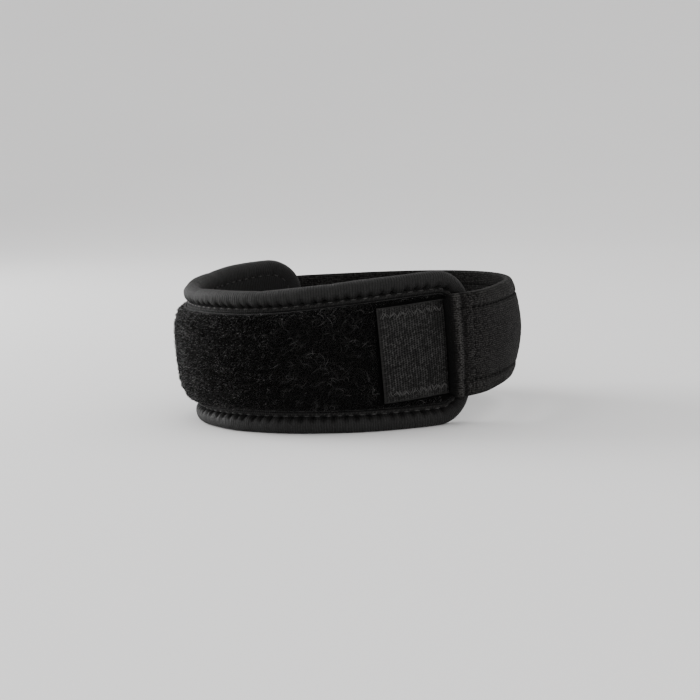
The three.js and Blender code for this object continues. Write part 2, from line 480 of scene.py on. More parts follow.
def grey(value, warmth=0.0):
    return (value * (1 + warmth), value, value * (1 - warmth), 1.0)


def addWear(tree, look):
    place = addNode(tree, "ShaderNodeTexCoord").outputs["Object"]
    values = {"Vector": place, "Grain Scale": look["grain"], "Lint Size": look["lint"]}
    return addNode(tree, "ShaderNodeGroup", values, node_tree=clothWear).outputs


def shadeCloth(tree, shade, look):
    return mixColour(tree, shade, grey(look["dark"], look["warmth"]), grey(look["light"], look["warmth"]))


# Colour, roughness and relief go into the shader alike for every cloth
def finishCloth(tree, shader, look, body, fade, relief):
    rough = calc(tree, "SUBTRACT", look["rough"], calc(tree, "MULTIPLY", fade, look["polish"]))
    values = {"Height": relief, "Strength": look["bump"], "Distance": look["bumpDeep"]}
    bump = addNode(tree, "ShaderNodeBump", values)
    feed(tree, shader.inputs["Base Color"], body)
    feed(tree, shader.inputs["Roughness"], rough)
    feed(tree, shader.inputs["Normal"], bump.outputs["Normal"])


# Knit cloth on foam, read from one of the piece's UV maps, and what its kinds have in common
knitLook = {
    "map": "flat",
    "turn": 0,
    "wale": 0.8,
    "grain": 2600.0,
    "grainRelief": 0.35,
    "fadeFloor": 0.2,
    "polish": 0.16,  # how much smoother the cloth is where it is faded
    "bumpDeep": 0.0003,  # in metres
    "lint": 0.035,
    "lintBright": 2.2,
    "shine": {
        "Sheen Weight": 0.02,
        "Sheen Roughness": 0.4,
        "Sheen Tint": (0.82, 0.81, 0.8, 1.0),
        "Specular IOR Level": 0.14,
    },
}


def knitCloth(name, **own):
    look = {**knitLook, **own}
    material, tree, shader = newMaterial(name, look["shine"])
    flat = addNode(tree, "ShaderNodeUVMap", uv_map=look["map"])
    turn = addNode(tree, "ShaderNodeMapping", {"Vector": flat.outputs["UV"]})
    turn.inputs["Rotation"].default_value[2] = math.radians(look["turn"])
    values = {"Vector": turn.outputs["Vector"], "Wale": look["wale"], "Course": look["course"]}
    knit = addNode(tree, "ShaderNodeGroup", values, node_tree=knitFace).outputs["Height"]
    wear = addWear(tree, look)
    # The knit's low places are painted darker, a painted shade between the stitches beside its bump
    shade = calc(tree, "MULTIPLY", knit, calc(tree, "ADD", wear["Fade"], look["fadeFloor"]))
    paintedLightAndTone = addNode(tree, "ShaderNodeAttribute", attribute_name="paintedLightAndTone")  # painted light and tone: under 1 in painted shade and on the darker strip, over 1 on a painted highlight
    shade = calc(tree, "MULTIPLY", shade, paintedLightAndTone.outputs["Fac"])
    fleck = calc(tree, "MULTIPLY", calc(tree, "SUBTRACT", wear["Grain"], 0.5), look["fleck"])
    shade = calc(tree, "MULTIPLY", shade, calc(tree, "ADD", fleck, 1.0))
    lint = grey(look["light"] * look["lintBright"], look["warmth"])
    body = mixColour(tree, wear["Lint"], shadeCloth(tree, shade, look), lint)
    relief = calc(tree, "ADD", knit, calc(tree, "MULTIPLY", wear["Grain"], look["grainRelief"]))
    finishCloth(tree, shader, look, body, wear["Fade"], relief)
    return material


rimKnit = knitCloth(
    "rimKnit",
    map="rim",
    course=0.6,
    dark=0.003,
    light=0.0155,
    fleck=3.0,
    warmth=0.01,
    rough=0.78,
    bump=0.75,
)
liningKnit = knitCloth(
    "liningKnit", course=0.65, dark=0.0015, light=0.01, fleck=2.0, warmth=0.0, rough=0.85, bump=0.7
)
strapKnit = knitCloth(
    "strapKnit",
    turn=90,
    wale=0.7,
    course=0.62,
    dark=0.0014,
    light=0.022,
    grain=1600.0,
    fleck=9.0,
    warmth=0.04,
    rough=0.85,
    bump=0.5,
    lint=0.04,
    shine={**knitLook["shine"], "Sheen Weight": 0.0, "Specular IOR Level": 0.05},
)

# Cloth with no ribs to show: pile backing, bare foam, thread and tape
plainLook = {
    "grain": 2600.0,
    "fadeFloor": 0.5,
    "polish": 0.14,
    "bumpDeep": 0.0002,
    "lint": 0.0,
    "warmth": 0.0,
}


# A tone attribute, where a look has a bright shade, lightens the piece point by point
def plainCloth(name, **own):
    look = {**plainLook, **own}
    shine = {"Specular IOR Level": look["specular"]}
    if "sheen" in look:
        shine["Sheen Weight"], shine["Sheen Roughness"] = look["sheen"]
    material, tree, shader = newMaterial(name, shine)
    wear = addWear(tree, look)
    shade = calc(tree, "MULTIPLY", wear["Grain"], calc(tree, "ADD", wear["Fade"], look["fadeFloor"]))
    body = shadeCloth(tree, shade, look)
    if "bright" in look:
        tone = addNode(tree, "ShaderNodeAttribute", attribute_name="tone")
        body = mixColour(tree, tone.outputs["Fac"], body, grey(look["bright"], look["warmth"]))
    finishCloth(tree, shader, look, body, wear["Fade"], wear["Grain"])
    return material


pileBacking = plainCloth(
    "pileBacking", dark=0.0006, light=0.002, rough=0.95, bump=0.8, sheen=(0.12, 0.3), specular=0.03
)
pileFibre = plainCloth(
    "pileFibre",
    dark=0.0006,
    light=0.002,
    bright=0.22,
    warmth=0.01,
    rough=0.5,
    bump=0.1,
    sheen=(0.015, 0.3),
    specular=0.1,
)
bareFoam = plainCloth("bareFoam", dark=0.001, light=0.0055, rough=1.0, bump=0.8, specular=0.02)
tapeYarn = plainCloth(
    "tapeYarn", dark=0.0006, light=0.002, bright=0.046, warmth=0.015, rough=0.7, bump=0.4, specular=0.05
)
sewingThread = plainCloth(
    "sewingThread",
    dark=0.006,
    light=0.035,
    warmth=0.02,
    rough=0.55,
    bump=0.4,
    sheen=(0.06, 0.4),
    specular=0.25,
)
hemCotton = plainCloth(
    "hemCotton",
    dark=0.002,
    light=0.034,
    warmth=0.03,
    rough=0.75,
    bump=0.4,
    sheen=(0.04, 0.4),
    specular=0.12,
)
print("materials made")

# Rows across the pad, from the middle of its outer face, round the rim, to the middle of its inner face.
# Cores are shares of the way to the middle, and rings are insets from the outline.
padOuterCore = [1, 0.75, 0.5, 0.3, 0.15, 0.05]
padOuterRing = [
    9.0, 8.4, 8.0, 7.75, 7.55, 7.45, 7.3, 7.15, 6.95, 6.7, 6.45, 6.25, 6.05, 5.9, 5.75, 5.6, 5.45, 5.3, 5.1,
    4.9, 4.6, 4.3, 3.9, 3.4, 2.7, 2.2, 1.7, 1.2, 0.75, 0.38, 0.12, 0,
]
padInnerRing = [0.12, 0.4, 0.9, 1.5, 2.1, 2.7, 3.6, 4.4, 4.9, 5.3, 5.6, 5.9, 6.1, 6.5, 7.4, 9.0]
padInnerCore = [0.06, 0.15, 0.3, 0.5, 0.75, 1]


def rimOuter(inset):
    crest, seam = pad["rimCrest"], pad["seamInset"]
    half = pad["rimThick"] / 2
    rise = half + half * edgeRound(inset, crest)
    fall = (pad["rimThick"] - pad["seamThick"]) * edgeRound(seam - inset, seam - crest, pad["rimFall"])
    return np.where(inset < crest, rise, pad["seamThick"] + fall)


def rimInner(inset):
    half = pad["rimThick"] / 2
    return half - half * edgeRound(inset, pad["rimCrest"])


def padUneven(x, z, inset):
    return ripples(x, z, *pad["uneven"]) * edgeRound(inset, pad["rimCrest"])


# The rim's outer face, drawn in and puckered by its stitches
def padRim(x, z, along, inset):
    seam = pad["seamInset"]
    fromSeam = np.maximum(seam - inset, 0)
    fading = np.exp(-fromSeam / pad["puckerReach"])
    pulled = inset + pad["pullIn"] * stitchPull(along, pad["pullWide"]) * fading
    shape = rimOuter(np.minimum(pulled, seam))
    shape = shape - pad["pucker"] * stitchPull(along, pad["puckerWide"]) * fading
    shape = shape - mound(fromSeam, *pad["hole"]) * stitchPull(along, pad["holeWide"])
    shape = shape + padUneven(x, z, inset) * ramp(fromSeam, 0, pad["unevenReach"])
    return np.maximum(shape, pad["seamThick"] - pad["seamDeepest"])


# The strip beside the seam, and the face that goes on under the panel
def padStrip(x, along, inset):
    fromSeam = inset - pad["seamInset"]
    step = ramp(fromSeam, 0, pad["stripStep"])
    rise = padFace(x, inset) + pad["stripRaise"] - pad["seamThick"]
    strip = pad["seamThick"] + rise * step * (2 - step)
    strip = strip - mound(fromSeam, *pad["stripDent"]) * stitchPull(along, pad["pullWide"])
    strip = strip - pad["stripFall"] * ramp(inset, pad["stripEnd"], pad["stripFallWide"])
    isUnder = inset > panelInset + pad["underPanel"]
    return np.where(isUnder, padFace(x, inset) - pad["underPanel"], strip)


def padShape(x, z, along, inset, isOuter):
    if isOuter:
        return np.where(inset < pad["seamInset"], padRim(x, z, along, inset), padStrip(x, along, inset))
    held = (1 + stitchPull(along, pad["pullWide"])) / 2
    groove = mound(inset - pad["seamInset"], *pad["innerGroove"]) * held
    return rimInner(inset) + groove - pad["unevenInside"] * padUneven(x, z, inset)


# Painted shade in the pad's stitch holes, along the seam's crease and in the groove beyond the strip, with
# the strip's own darker, grainy tone
def padPaintedShadeAndTone(along, inset, isOuter):
    fromSeam = pad["seamInset"] - inset
    dark = mound(fromSeam, *pad["holeShade"]) * stitchPull(along, pad["holeShadeWide"])
    dark = dark + mound(fromSeam, *pad["seamShade"])
    strip = pad["stripShade"] + ripples(along, inset, pad["stripGrain"])
    dark = dark + strip * (fromSeam < -pad["stripShadeFrom"])
    dark = dark + pad["fallShade"] * (inset > pad["stripEnd"])
    return np.clip(1 - dark * isOuter, 0, 1)


# One row of the pad: its places on the flat cut and its points on the loop
def padRow(ring, seamAlong, inset, share, isOuter):
    drawn = filling["drawnIn"] * max(1 - inset / pad["seamInset"], 0)
    x, z = ringPlaces(ring, inset + drawn, share)
    depth = padInset(x, z) if share else inset
    offset = padShape(x, z, seamAlong, depth, isOuter)
    waver = ripples(x, z, pad["waver"]) * bell(depth, pad["waverReach"]) * (1 - bell(z, pad["waverClear"]))
    height = np.maximum(z + waver - mound(z, *pad["restFlat"]), 0)
    return {"x": x, "z": z, "inset": depth, "points": onPad(x, height, offset)}


# Filling: the rim's cover is held at its stitches and blown up by a cloth simulation
filling = {
    "columnStep": 0.85,
    "outerRows": [5.6, 5.3, 5.0, 4.6, 4.1, 3.5, 2.8, 2.1, 1.4, 0.7, 0.2],
    "innerRows": [0.2, 0.7, 1.4, 2.1, 2.8, 3.6, 4.4, 5.0, 5.6],
    "sewnWithin": 0.1,  # all of the cover is sewn down this near the seam
    "hold": (1.4, 0.75, 0.7),  # how firmly each stitch holds it further up, how wide and how far
    "enlarged": 100.0,  # cloth settings are made for pieces about a metre wide
    "meetWithin": 1e-4,  # at that size, where the cover's edges are joined
    "quality": 5,
    "pressure": 7.0,
    "frames": 20,
    "cap": 0.7,  # the furthest that a point may move
    "smoothing": 7,  # passes along the rim that soften its creases
    "drawnIn": 0.4,  # how far inside its outline the rim's edge is before it is blown up
}


# How firmly a point of the cover is sewn down, from 0 to 1
def rimHeld(seamAlong, inset):
    fromSeam = pad["seamInset"] - inset
    if fromSeam < filling["sewnWithin"]:
        return np.ones(len(seamAlong))
    firm, wide, far = filling["hold"]
    return np.clip(firm * stitchPull(seamAlong, wide) * math.exp(-fromSeam / far), 0, 1)


def runCloth(piece):
    cloth = piece.modifiers.new("cover", "CLOTH")
    cloth.settings.quality = filling["quality"]
    cloth.settings.use_pressure = True
    cloth.settings.uniform_pressure_force = filling["pressure"]
    cloth.settings.effector_weights.gravity = 0
    cloth.settings.vertex_group_mass = "sewn"
    cloth.collision_settings.use_collision = False
    cloth.point_cache.frame_end = filling["frames"]
    for number in range(1, filling["frames"] + 1):
        bpy.context.scene.frame_set(number)
    blown = piece.evaluated_get(bpy.context.evaluated_depsgraph_get())
    return np.array([vert.co[:] for vert in blown.data.vertices])


# How far each place of the rim moves, rows by columns and in metres, and where its columns are
def blowUpRim():
    ring = padOutline(0, filling["columnStep"])
    seamAlong = alongOutline(ring, pad["seamInset"])
    rows = [(inset, 0, True) for inset in filling["outerRows"]]
    rows += [(inset, 0, False) for inset in filling["innerRows"]]
    rest = np.stack([padRow(ring, seamAlong, *row)["points"] for row in rows])
    held = np.stack([rimHeld(seamAlong, row[0]) for row in rows])
    shift = np.zeros(rest.shape)
    columnCount = rest.shape[1]
    mesh = bmesh.new()
    spot = mesh.verts.layers.int.new("spot")
    verts, column, row = addGrid(mesh, columnCount, len(rows))
    placeVerts(verts, rest[row, column] * filling["enlarged"])
    for vert, place in zip(verts, row * columnCount + column):
        vert[spot] = int(place)
    bmesh.ops.remove_doubles(mesh, verts=mesh.verts, dist=filling["meetWithin"])
    turnOutwards(mesh, len(mesh.faces) // 4)  # a face on the rim's outer side
    piece = finishMesh(mesh, "rimCover", [])
    spots = np.array([entry.value for entry in piece.data.attributes["spot"].data])
    row, column = np.divmod(spots, columnCount)
    sewn = piece.vertex_groups.new(name="sewn")
    for index, weight in enumerate(held[row, column]):
        sewn.add([index], float(weight), "REPLACE")
    shift[row, column] = runCloth(piece) / filling["enlarged"] - rest[row, column]
    ends = column % (columnCount - 1) == 0
    for edge in (0, columnCount - 1):
        shift[row[ends], edge] = shift[row[ends], column[ends]]
    far = np.linalg.norm(shift, axis=2, keepdims=True) / millimetre
    print("rim blown up by", far.mean(), "and at most", far.max(), "mm")
    bpy.data.objects.remove(piece)
    bpy.context.scene.frame_set(1)
    around = alongOutline(ring, 0)
    return shift * np.minimum(1, filling["cap"] / (far + tiny)), around / around[-1]


# The same moves for a row of the finer pad
def rimMove(blown, around, inset, isOuter):
    shift, places = blown
    insets = filling["outerRows"] if isOuter else filling["innerRows"]
    first = 0 if isOuter else len(filling["outerRows"])
    if inset > pad["seamInset"]:
        return np.zeros((len(around), 3))
    order = np.argsort(insets)
    position = np.interp(inset, np.array(insets)[order], first + order)
    low = min(int(position), len(shift) - 2)
    line = shift[low] + (shift[low + 1] - shift[low]) * (position - low)
    return np.stack([np.interp(around, places, line[:, axis]) for axis in range(3)], axis=1)


def smoothAround(moves):
    once = moves[:, :-1]
    for _ in range(filling["smoothing"]):
        once = (np.roll(once, 1, axis=1) + 2 * once + np.roll(once, -1, axis=1)) / 4
    return np.concatenate([once, once[:, :1]], axis=1)


def makePad():
    rows = [(padOuterRing[0], share, True) for share in padOuterCore]
    rows += [(inset, 0, True) for inset in padOuterRing]
    rows += [(inset, 0, False) for inset in padInnerRing]
    rows += [(padInnerRing[-1], share, False) for share in padInnerCore]
    edgeAlong = alongOutline(padRing, 0)
    moves = np.zeros((len(rows), len(edgeAlong), 3))
    blown = blowUpRim()
    around = edgeAlong / edgeAlong[-1]
    moves = np.stack([rimMove(blown, around, inset, isOuter) for inset, _, isOuter in rows])
    moves = smoothAround(moves)
    laid, paintedLightAndTone, flatMap, rimMap = [], [], [], []
    travelled = np.zeros(len(edgeAlong))
    for (inset, share, isOuter), move in zip(rows, moves):
        made = padRow(padRing, padSeamAlong, inset, share, isOuter)
        points = made["points"] + move
        points[:, 2] = np.maximum(points[:, 2], 0)
        if laid:
            travelled = travelled + np.linalg.norm(points - laid[-1], axis=1) / millimetre
        laid.append(points)
        paintedLightAndTone.append(padPaintedShadeAndTone(padSeamAlong, made["inset"], isOuter))
        flatMap.append(np.stack([made["x"], made["z"]], axis=1))
        rimMap.append(np.stack([edgeAlong, travelled], axis=1))
    mesh = bmesh.new()
    paintedLightLayer = mesh.verts.layers.float.new("paintedLightAndTone")
    verts, column, row = addGrid(mesh, len(edgeAlong), len(rows))
    mapVerts(mesh, verts, "rim", np.array(rimMap)[row, column])
    mapVerts(mesh, verts, "flat", np.array(flatMap)[row, column])
    setValues(verts, paintedLightLayer, np.array(paintedLightAndTone)[row, column])
    rowOf = {vert: number for vert, number in zip(verts, row)}
    liningStart = len(padOuterCore) + len(padOuterRing) + padInnerRing.index(pad["seamInset"])
    for face in mesh.faces:
        face.material_index = int(min(rowOf[v] for v in face.verts) >= liningStart)
    placeVerts(verts, np.array(laid)[row, column])
    mergeEdges(mesh)
    bmesh.ops.recalc_face_normals(mesh, faces=mesh.faces)
    return finishMesh(mesh, "padBand", [rimKnit, liningKnit])


padBand = makePad()
print("pad made", len(padBand.data.polygons), "faces")

# Loop panel: pile cloth inside the rim, thin along its edge
panel = {
    "columnStep": 0.5,
    "edgeThick": 0.5,
    "edgeRadius": 0.3,
    "pileThick": 0.95,
    "pileStart": 1.4,
    "clumps": [(0.12, 2.6, 21), (0.12, 6.0, 22)],  # height, wavelength and seed
    "back": 0.7,
    "rings": [0, 0.06, 0.2, 0.4, 0.7, 1.1, 1.6, 2.2, 3.0],  # insets of its outer rows
    "coreCount": 23,  # rows from there to its middle line
}
panelRing = padOutline(panelInset, panel["columnStep"])


def panelShape(x, z, inset):
    rise = ramp(inset, 0, panel["pileStart"])
    thick = panel["pileThick"] - panel["edgeThick"] + ripples(x, z, *panel["clumps"])
    return panel["edgeThick"] * edgeRound(inset, panel["edgeRadius"]) + thick * rise * (2 - rise)


def panelFace(x, z, inset):
    return padFace(x, inset) + loop["gap"] + panelShape(x, z, inset - panelInset)


def makePanel():
    rows = [(inset, 0) for inset in panel["rings"]]
    rows += [(panel["rings"][-1], (step + 1) / panel["coreCount"]) for step in range(panel["coreCount"])]
    laid, flatMap = [], []
    for inset, share in rows:
        x, z = ringPlaces(panelRing, inset, share)
        depth = padInset(x, z) if share else panelInset + inset
        laid.append(onPad(x, z, panelFace(x, z, depth)))
        flatMap.append(np.stack([x, z], axis=1))
    mesh = bmesh.new()
    verts, column, row = addGrid(mesh, len(panelRing["x"]), len(rows))
    mapVerts(mesh, verts, "flat", np.array(flatMap)[row, column])
    placeVerts(verts, np.array(laid)[row, column])
    mergeEdges(mesh)
    bmesh.ops.recalc_face_normals(mesh, faces=mesh.faces)
    turnOutwards(mesh, len(mesh.faces) // 2)
    piece = finishMesh(mesh, "loopPanel", [pileBacking])
    addBack(piece, panel["back"])
    return piece


loopPanel = makePanel()
print("panel made", len(loopPanel.data.polygons), "faces")

# Strap: its path round the loop, its section and the folded hem at its free end
strap = {
    "width": 34.4,
    "nearBearing": 87.3,
    "farBearing": 271.0,
    "cornerRadius": 2.5,
    "leanShare": 0.8,  # how far its cross lines lean with the path
    "path": [  # bearing, height of the middle line, distance from the oval, crown
        (60, 25, 8.1, 0.6), (88, 26.6, 8.1, 0.6), (96, 26.8, 8, 0.6), (102, 26.9, 6.9, 0.9),
        (108, 27, 4.9, 1.6), (116, 27.1, 2.6, 2.4), (130, 27.3, 0.6, 3), (180, 27.6, 0.4, 3.2),
        (230, 27.3, 0.6, 3), (244, 27.1, 2.6, 2.4), (252, 27, 4.9, 1.6), (258, 26.9, 6.6, 0.9),
        (264, 26.8, 6.9, 0.6), (280, 26.4, 6.7, 0.6),
    ],
    "thick": 2.75,
    "edgeRadius": 1.3,
    "edgeSquare": 2.6,  # how square the edges and the free end are
    "endSquare": 1.9,
    "endRound": 2.5,  # how far the rolled free end rises from the face below
    "endShut": 0.03,  # both faces meet this near the outline
    "endHem": [(0, 0.8), (2.3, 0.8), (2.9, 0.55), (3.5, 0.1), (4.1, -0.3), (5.1, -0.15), (6.4, 0)],
    "bareEnd": 0.75,  # bare foam shows this far up the free end; its dark colour also stands for the shade under the rolled end
    "filled": 0.25,  # how far the middle stands out
    "fillRamp": (6.0, 8.0),  # from which inset, and over what width
    "hemRoll": (0.14, 3.0, 1.3),  # height, inset and width
    "uneven": [(0.1, 14, 31), (0.04, 4.5, 32)],  # height, wavelength and seed
    "unevenReach": 2.0,  # how far inside the edge it is in full
    "stitchInset": 5.2,
    "stitchPitch": 2.1,
    "stitchDeep": 0.65,
    "stitchGroove": (0.42, 0.55, 0.28),  # width, share of the depth between holes and size of a hole
    "innerDent": (0.2, 0.0, 0.5),  # the same row on the inner face: depth, distance and width
    "crossPitch": 1.6,
    "crossGroove": (0.45, 0.5, 0.3),
    "secondRow": 7.5,  # a sewn row across the strap, by its distance from the free end
    "secondDeep": 0.3,
    "farRows": (2.2, 11.0),  # sewn rows across the fixed end
    "farDeep": 0.4,
    "holeMore": 0.6,  # share of the depth that a hole adds
    "plainShade": 0.85,
    "holeShade": (1.1, 0.0, 0.6),  # painted shade in the stitch holes: how dark, distance from the row and width
    "holeShadeLong": 0.26,
    "ridgeShade": (2.4, 0.1, 0.7),  # painted highlight on the rolled end's crest: how light, distance behind the end and width
    "valleyShade": (0.5, 2.0, 0.8),  # painted shade in the valley behind the crest: how dark, distance and width
    "endShadeWide": 0.9,  # width of the painted shade on the rolled end's lower face, above the bare foam
    "endShadeSudden": 1.5,
    "endShadeLeft": 0.05,  # share of the cloth's colour left at the bottom of that painted shade
    "columnStep": 0.5,
    "endLines": [0, 0.03, 0.09, 0.2, 0.35, 0.55, 0.8, 1.1, 1.4, 1.7, 2.0, 2.3, 2.6, 3.0, 3.5],
    "sideLines": [
        0, 0.04, 0.14, 0.3, 0.5, 0.8, 1.2, 1.8, 2.5, 3.2, 3.9, 4.4, 4.7, 4.95, 5.2, 5.45, 5.7, 6.1, 6.8, 8,
        10, 12.5, 15,
    ],
}
strapHalf = strap["width"] / 2
strapBearings, *strapRuns = zip(*strap["path"])
strapLevel, strapOffset, strapCrown = (smoothTable(list(zip(strapBearings, run))) for run in strapRuns)
strapHemRaise = smoothTable(strap["endHem"])
strapLength = math.radians(strap["farBearing"] - strap["nearBearing"]) * loopRadius


# Bearing and height of a place beside the strap's middle line
def strapPlace(bearing, across):
    slope = (strapLevel(bearing + 1) - strapLevel(bearing - 1)) / (math.radians(2) * loopRadius)
    return bearing - asBearing(across * slope * strap["leanShare"]), strapLevel(bearing) + across


def strapInset(reach, across):
    return np.maximum(cornerInset(strap["cornerRadius"], reach, strapHalf - np.abs(across)), 0)


def strapBase(bearing, across):
    return strapOffset(bearing) + strapCrown(bearing) * (1 - (across / strapHalf) ** 2)


# Places on the strap's flat cut, laid round the loop
def onStrap(column, across, raised):
    bearing, height = strapPlace(strap["nearBearing"] + asBearing(column), across)
    return toFrame(onLoop(bearing, height, strapBase(bearing, across) + raised))


def evenHoles(along, pitch, size):
    return bell((along / pitch + 0.5) % 1 - 0.5, size)


# A sewn row's groove, by the distance from the row: deeper at each of its holes
def sewnGroove(away, along, pitch, groove):
    width, between, holeSize = groove
    return bell(away, width) * (between + strap["holeMore"] * evenHoles(along, pitch, holeSize))


def strapInner(column, across):
    middle = strap["thick"] / 2
    dent = mound(strapHalf - np.abs(across) - strap["stitchInset"], *strap["innerDent"])
    side = strapInset(strapLength - column, across)
    return middle - (middle - dent) * edgeRound(side, strap["edgeRadius"], strap["edgeSquare"])


# Height of the strap's outer face, which starts from its inner one at the rolled free end
def strapOuter(column, across):
    edge = strapHalf - np.abs(across)
    side = strapInset(strapLength - column, across)
    shape = strap["thick"] + strap["filled"] * ramp(edge, *strap["fillRamp"])
    shape = shape + mound(edge, *strap["hemRoll"]) + strapHemRaise(column)
    hem = sewnGroove(edge - strap["stitchInset"], column, strap["stitchPitch"], strap["stitchGroove"])
    shape = shape - strap["stitchDeep"] * hem
    crossRows = [(strap["secondRow"], strap["secondDeep"])]
    crossRows += [(strapLength - row, strap["farDeep"]) for row in strap["farRows"]]
    for row, deep in crossRows:
        shape = shape - deep * sewnGroove(column - row, across, strap["crossPitch"], strap["crossGroove"])
    shape = shape + ripples(column, across, *strap["uneven"]) * ramp(side, 0, strap["unevenReach"])
    middle = strap["thick"] / 2
    full = middle + (shape - middle) * edgeRound(side, strap["edgeRadius"], strap["edgeSquare"])
    start = strapInner(column, across)
    rolled = edgeRound(column, strap["endRound"], strap["endSquare"])
    fromOutline = strapInset(np.minimum(column, strapLength - column), across)
    return start + (full - start) * rolled * ramp(fromOutline, 0, strap["endShut"])


# Painted light on the strap: painted shade in its stitch holes, in the valley behind its rolled end and low
# on that end, and a painted highlight on the end's crest
def strapPaintedLight(column, across):
    fromHem = strapHalf - np.abs(across) - strap["stitchInset"]
    holes = evenHoles(column, strap["stitchPitch"], strap["holeShadeLong"]) * (column > strap["secondRow"])
    dark = mound(fromHem, *strap["holeShade"]) * holes
    behind = column - strap["endRound"]
    shade = np.clip(strap["plainShade"] - dark - mound(behind, *strap["valleyShade"]), 0, 1)
    shade = shade + mound(behind, *strap["ridgeShade"])
    # Painted shade on the rolled end's lower face, darkest beside the bare foam
    whole = ramp(column, strap["bareEnd"], strap["endShadeWide"]) ** strap["endShadeSudden"]
    return shade * (strap["endShadeLeft"] + (1 - strap["endShadeLeft"]) * whole)


def makeStrap():
    ends, radius = strap["endLines"], strap["cornerRadius"]
    midCount = round((strapLength - 2 * ends[-1]) / strap["columnStep"])
    columns = ends + list(np.linspace(ends[-1], strapLength - ends[-1], midCount + 1)[1:-1])
    columns = np.array(columns + [strapLength - line for line in reversed(ends)])
    lower = [inset / strapHalf - 1 for inset in strap["sideLines"]]
    shares = np.array(lower + [0] + [-share for share in reversed(lower)])
    mesh = bmesh.new()
    paintedLightLayer = mesh.verts.layers.float.new("paintedLightAndTone")
    for isOuter in (True, False):
        verts, column, row = addGrid(mesh, len(columns), len(shares))
        along = columns[column]
        inward = np.maximum(radius - np.minimum(along, strapLength - along), 0)
        across = shares[row] * (strapHalf - radius + np.sqrt(radius**2 - inward**2))
        raised = strapOuter(along, across) if isOuter else strapInner(along, across)
        mapVerts(mesh, verts, "flat", np.stack([along, across], axis=1))
        placeVerts(verts, onStrap(along, across, raised))
        setValues(verts, paintedLightLayer, strapPaintedLight(along, across))
        faces = {face for vert in verts for face in vert.link_faces}
        alongOf = {vert: place for vert, place in zip(verts, along)}
        for face in faces:
            isBare = max(alongOf[v] for v in face.verts) < strap["bareEnd"]
            face.material_index = int(isBare and isOuter)
        if not isOuter:
            bmesh.ops.reverse_faces(mesh, faces=list(faces))
    mergeEdges(mesh)
    return finishMesh(mesh, "backStrap", [strapKnit, bareFoam])


backStrap = makeStrap()
print("strap made", len(backStrap.data.polygons), "faces")

# Hook tab: ribbed woven tape from its free edge to under the strap's end
tab = {
    "freeBearing": 65.4,
    "heldBearing": 93.5,
    "height": 31.2,
    "thick": 1.1,
    "panelThick": 1.3,  # of the panel below it
    "edgeDrop": 0.5,
    "edgeRadius": 0.3,
    "relief": 0.11,
    "uneven": (0.1, 9, 41),  # height, wavelength and seed
    "ribPitch": 0.78,
    "ribDrift": (0.12, 6, 43),
    "ribRise": 0.4,
    "pickPitch": 0.74,
    "pickDrift": (0.1, 4, 44),
    "holeWide": 0.35,
    "holeDeep": (0.8, 1.2),  # the least, and how much more some have
    "holeCut": 0.98,
    "selvedge": 0.6,
    "border": 0.4,
    "plainEdge": (0.62, 0.05, 0.7),  # height of both, and the height and pitch of their ribs
    "plainShade": 0.6,
    "shadeCount": 128,
    "tone": (0.2, 0.65, 1.3),  # the least, how much more the lightest yarns have, and how rare they are
    "toneDepth": 2.4,  # painted shade: how much darker the weave's low places and holes are
    "toneGrain": (0.06, 1.1, 42),
    "columnStep": 0.135,
    "rowStep": 0.17,
}
tabHalf = tab["height"] / 2
tabLength = math.radians(tab["heldBearing"] - tab["freeBearing"]) * loopRadius
tabShade = np.random.default_rng(40).uniform(0, 1, (tab["shadeCount"], tab["shadeCount"]))


def onTab(column, across, raised):
    bearing, height = strapPlace(tab["freeBearing"] + asBearing(column), across)
    x = (bearing + pad["endBearing"]) / asBearing(1)
    base = padFace(x, pad["halfHeight"]) + tab["panelThick"] + 2 * loop["gap"]
    return toFrame(onLoop(bearing, height, base - tab["edgeDrop"] * (across / tabHalf) ** 2 + raised))


# The woven relief and its shades: ribs along the tape, with small holes between them that alternate
def tabWeave(column, across):
    count = tab["shadeCount"]
    place = column / tab["ribPitch"] + ripples(column, across, tab["ribDrift"])
    between = np.round(place)
    pick = across / tab["pickPitch"] + 0.5 * (between % 2) + ripples(column, across, tab["pickDrift"])
    holeLeast, holeMore = tab["holeDeep"]
    deep = holeLeast + holeMore * tabShade[between.astype(int) % count, np.floor(pick).astype(int) % count]
    hole = deep * bell(place - between, tab["holeWide"]) * (1 - np.cos(2 * math.pi * pick)) / 2
    rib = 1 - np.abs(2 * (place % 1) - 1) ** 2
    woven = (1 - tab["holeCut"] * np.clip(hole, 0, 1)) * (1 - tab["ribRise"] + tab["ribRise"] * rib)
    plainHigh, plainRib, plainPitch = tab["plainEdge"]
    plain = plainHigh + plainRib * np.cos(2 * math.pi * across / plainPitch)
    isPlain = (column < tab["selvedge"]) | (tabHalf - np.abs(across) < tab["border"])
    half = count // 2
    shade = tabShade[half - np.floor(place).astype(int) % half, np.round(pick).astype(int) % count]
    return np.where(isPlain, plain, woven), np.where(isPlain, tab["plainShade"], shade)


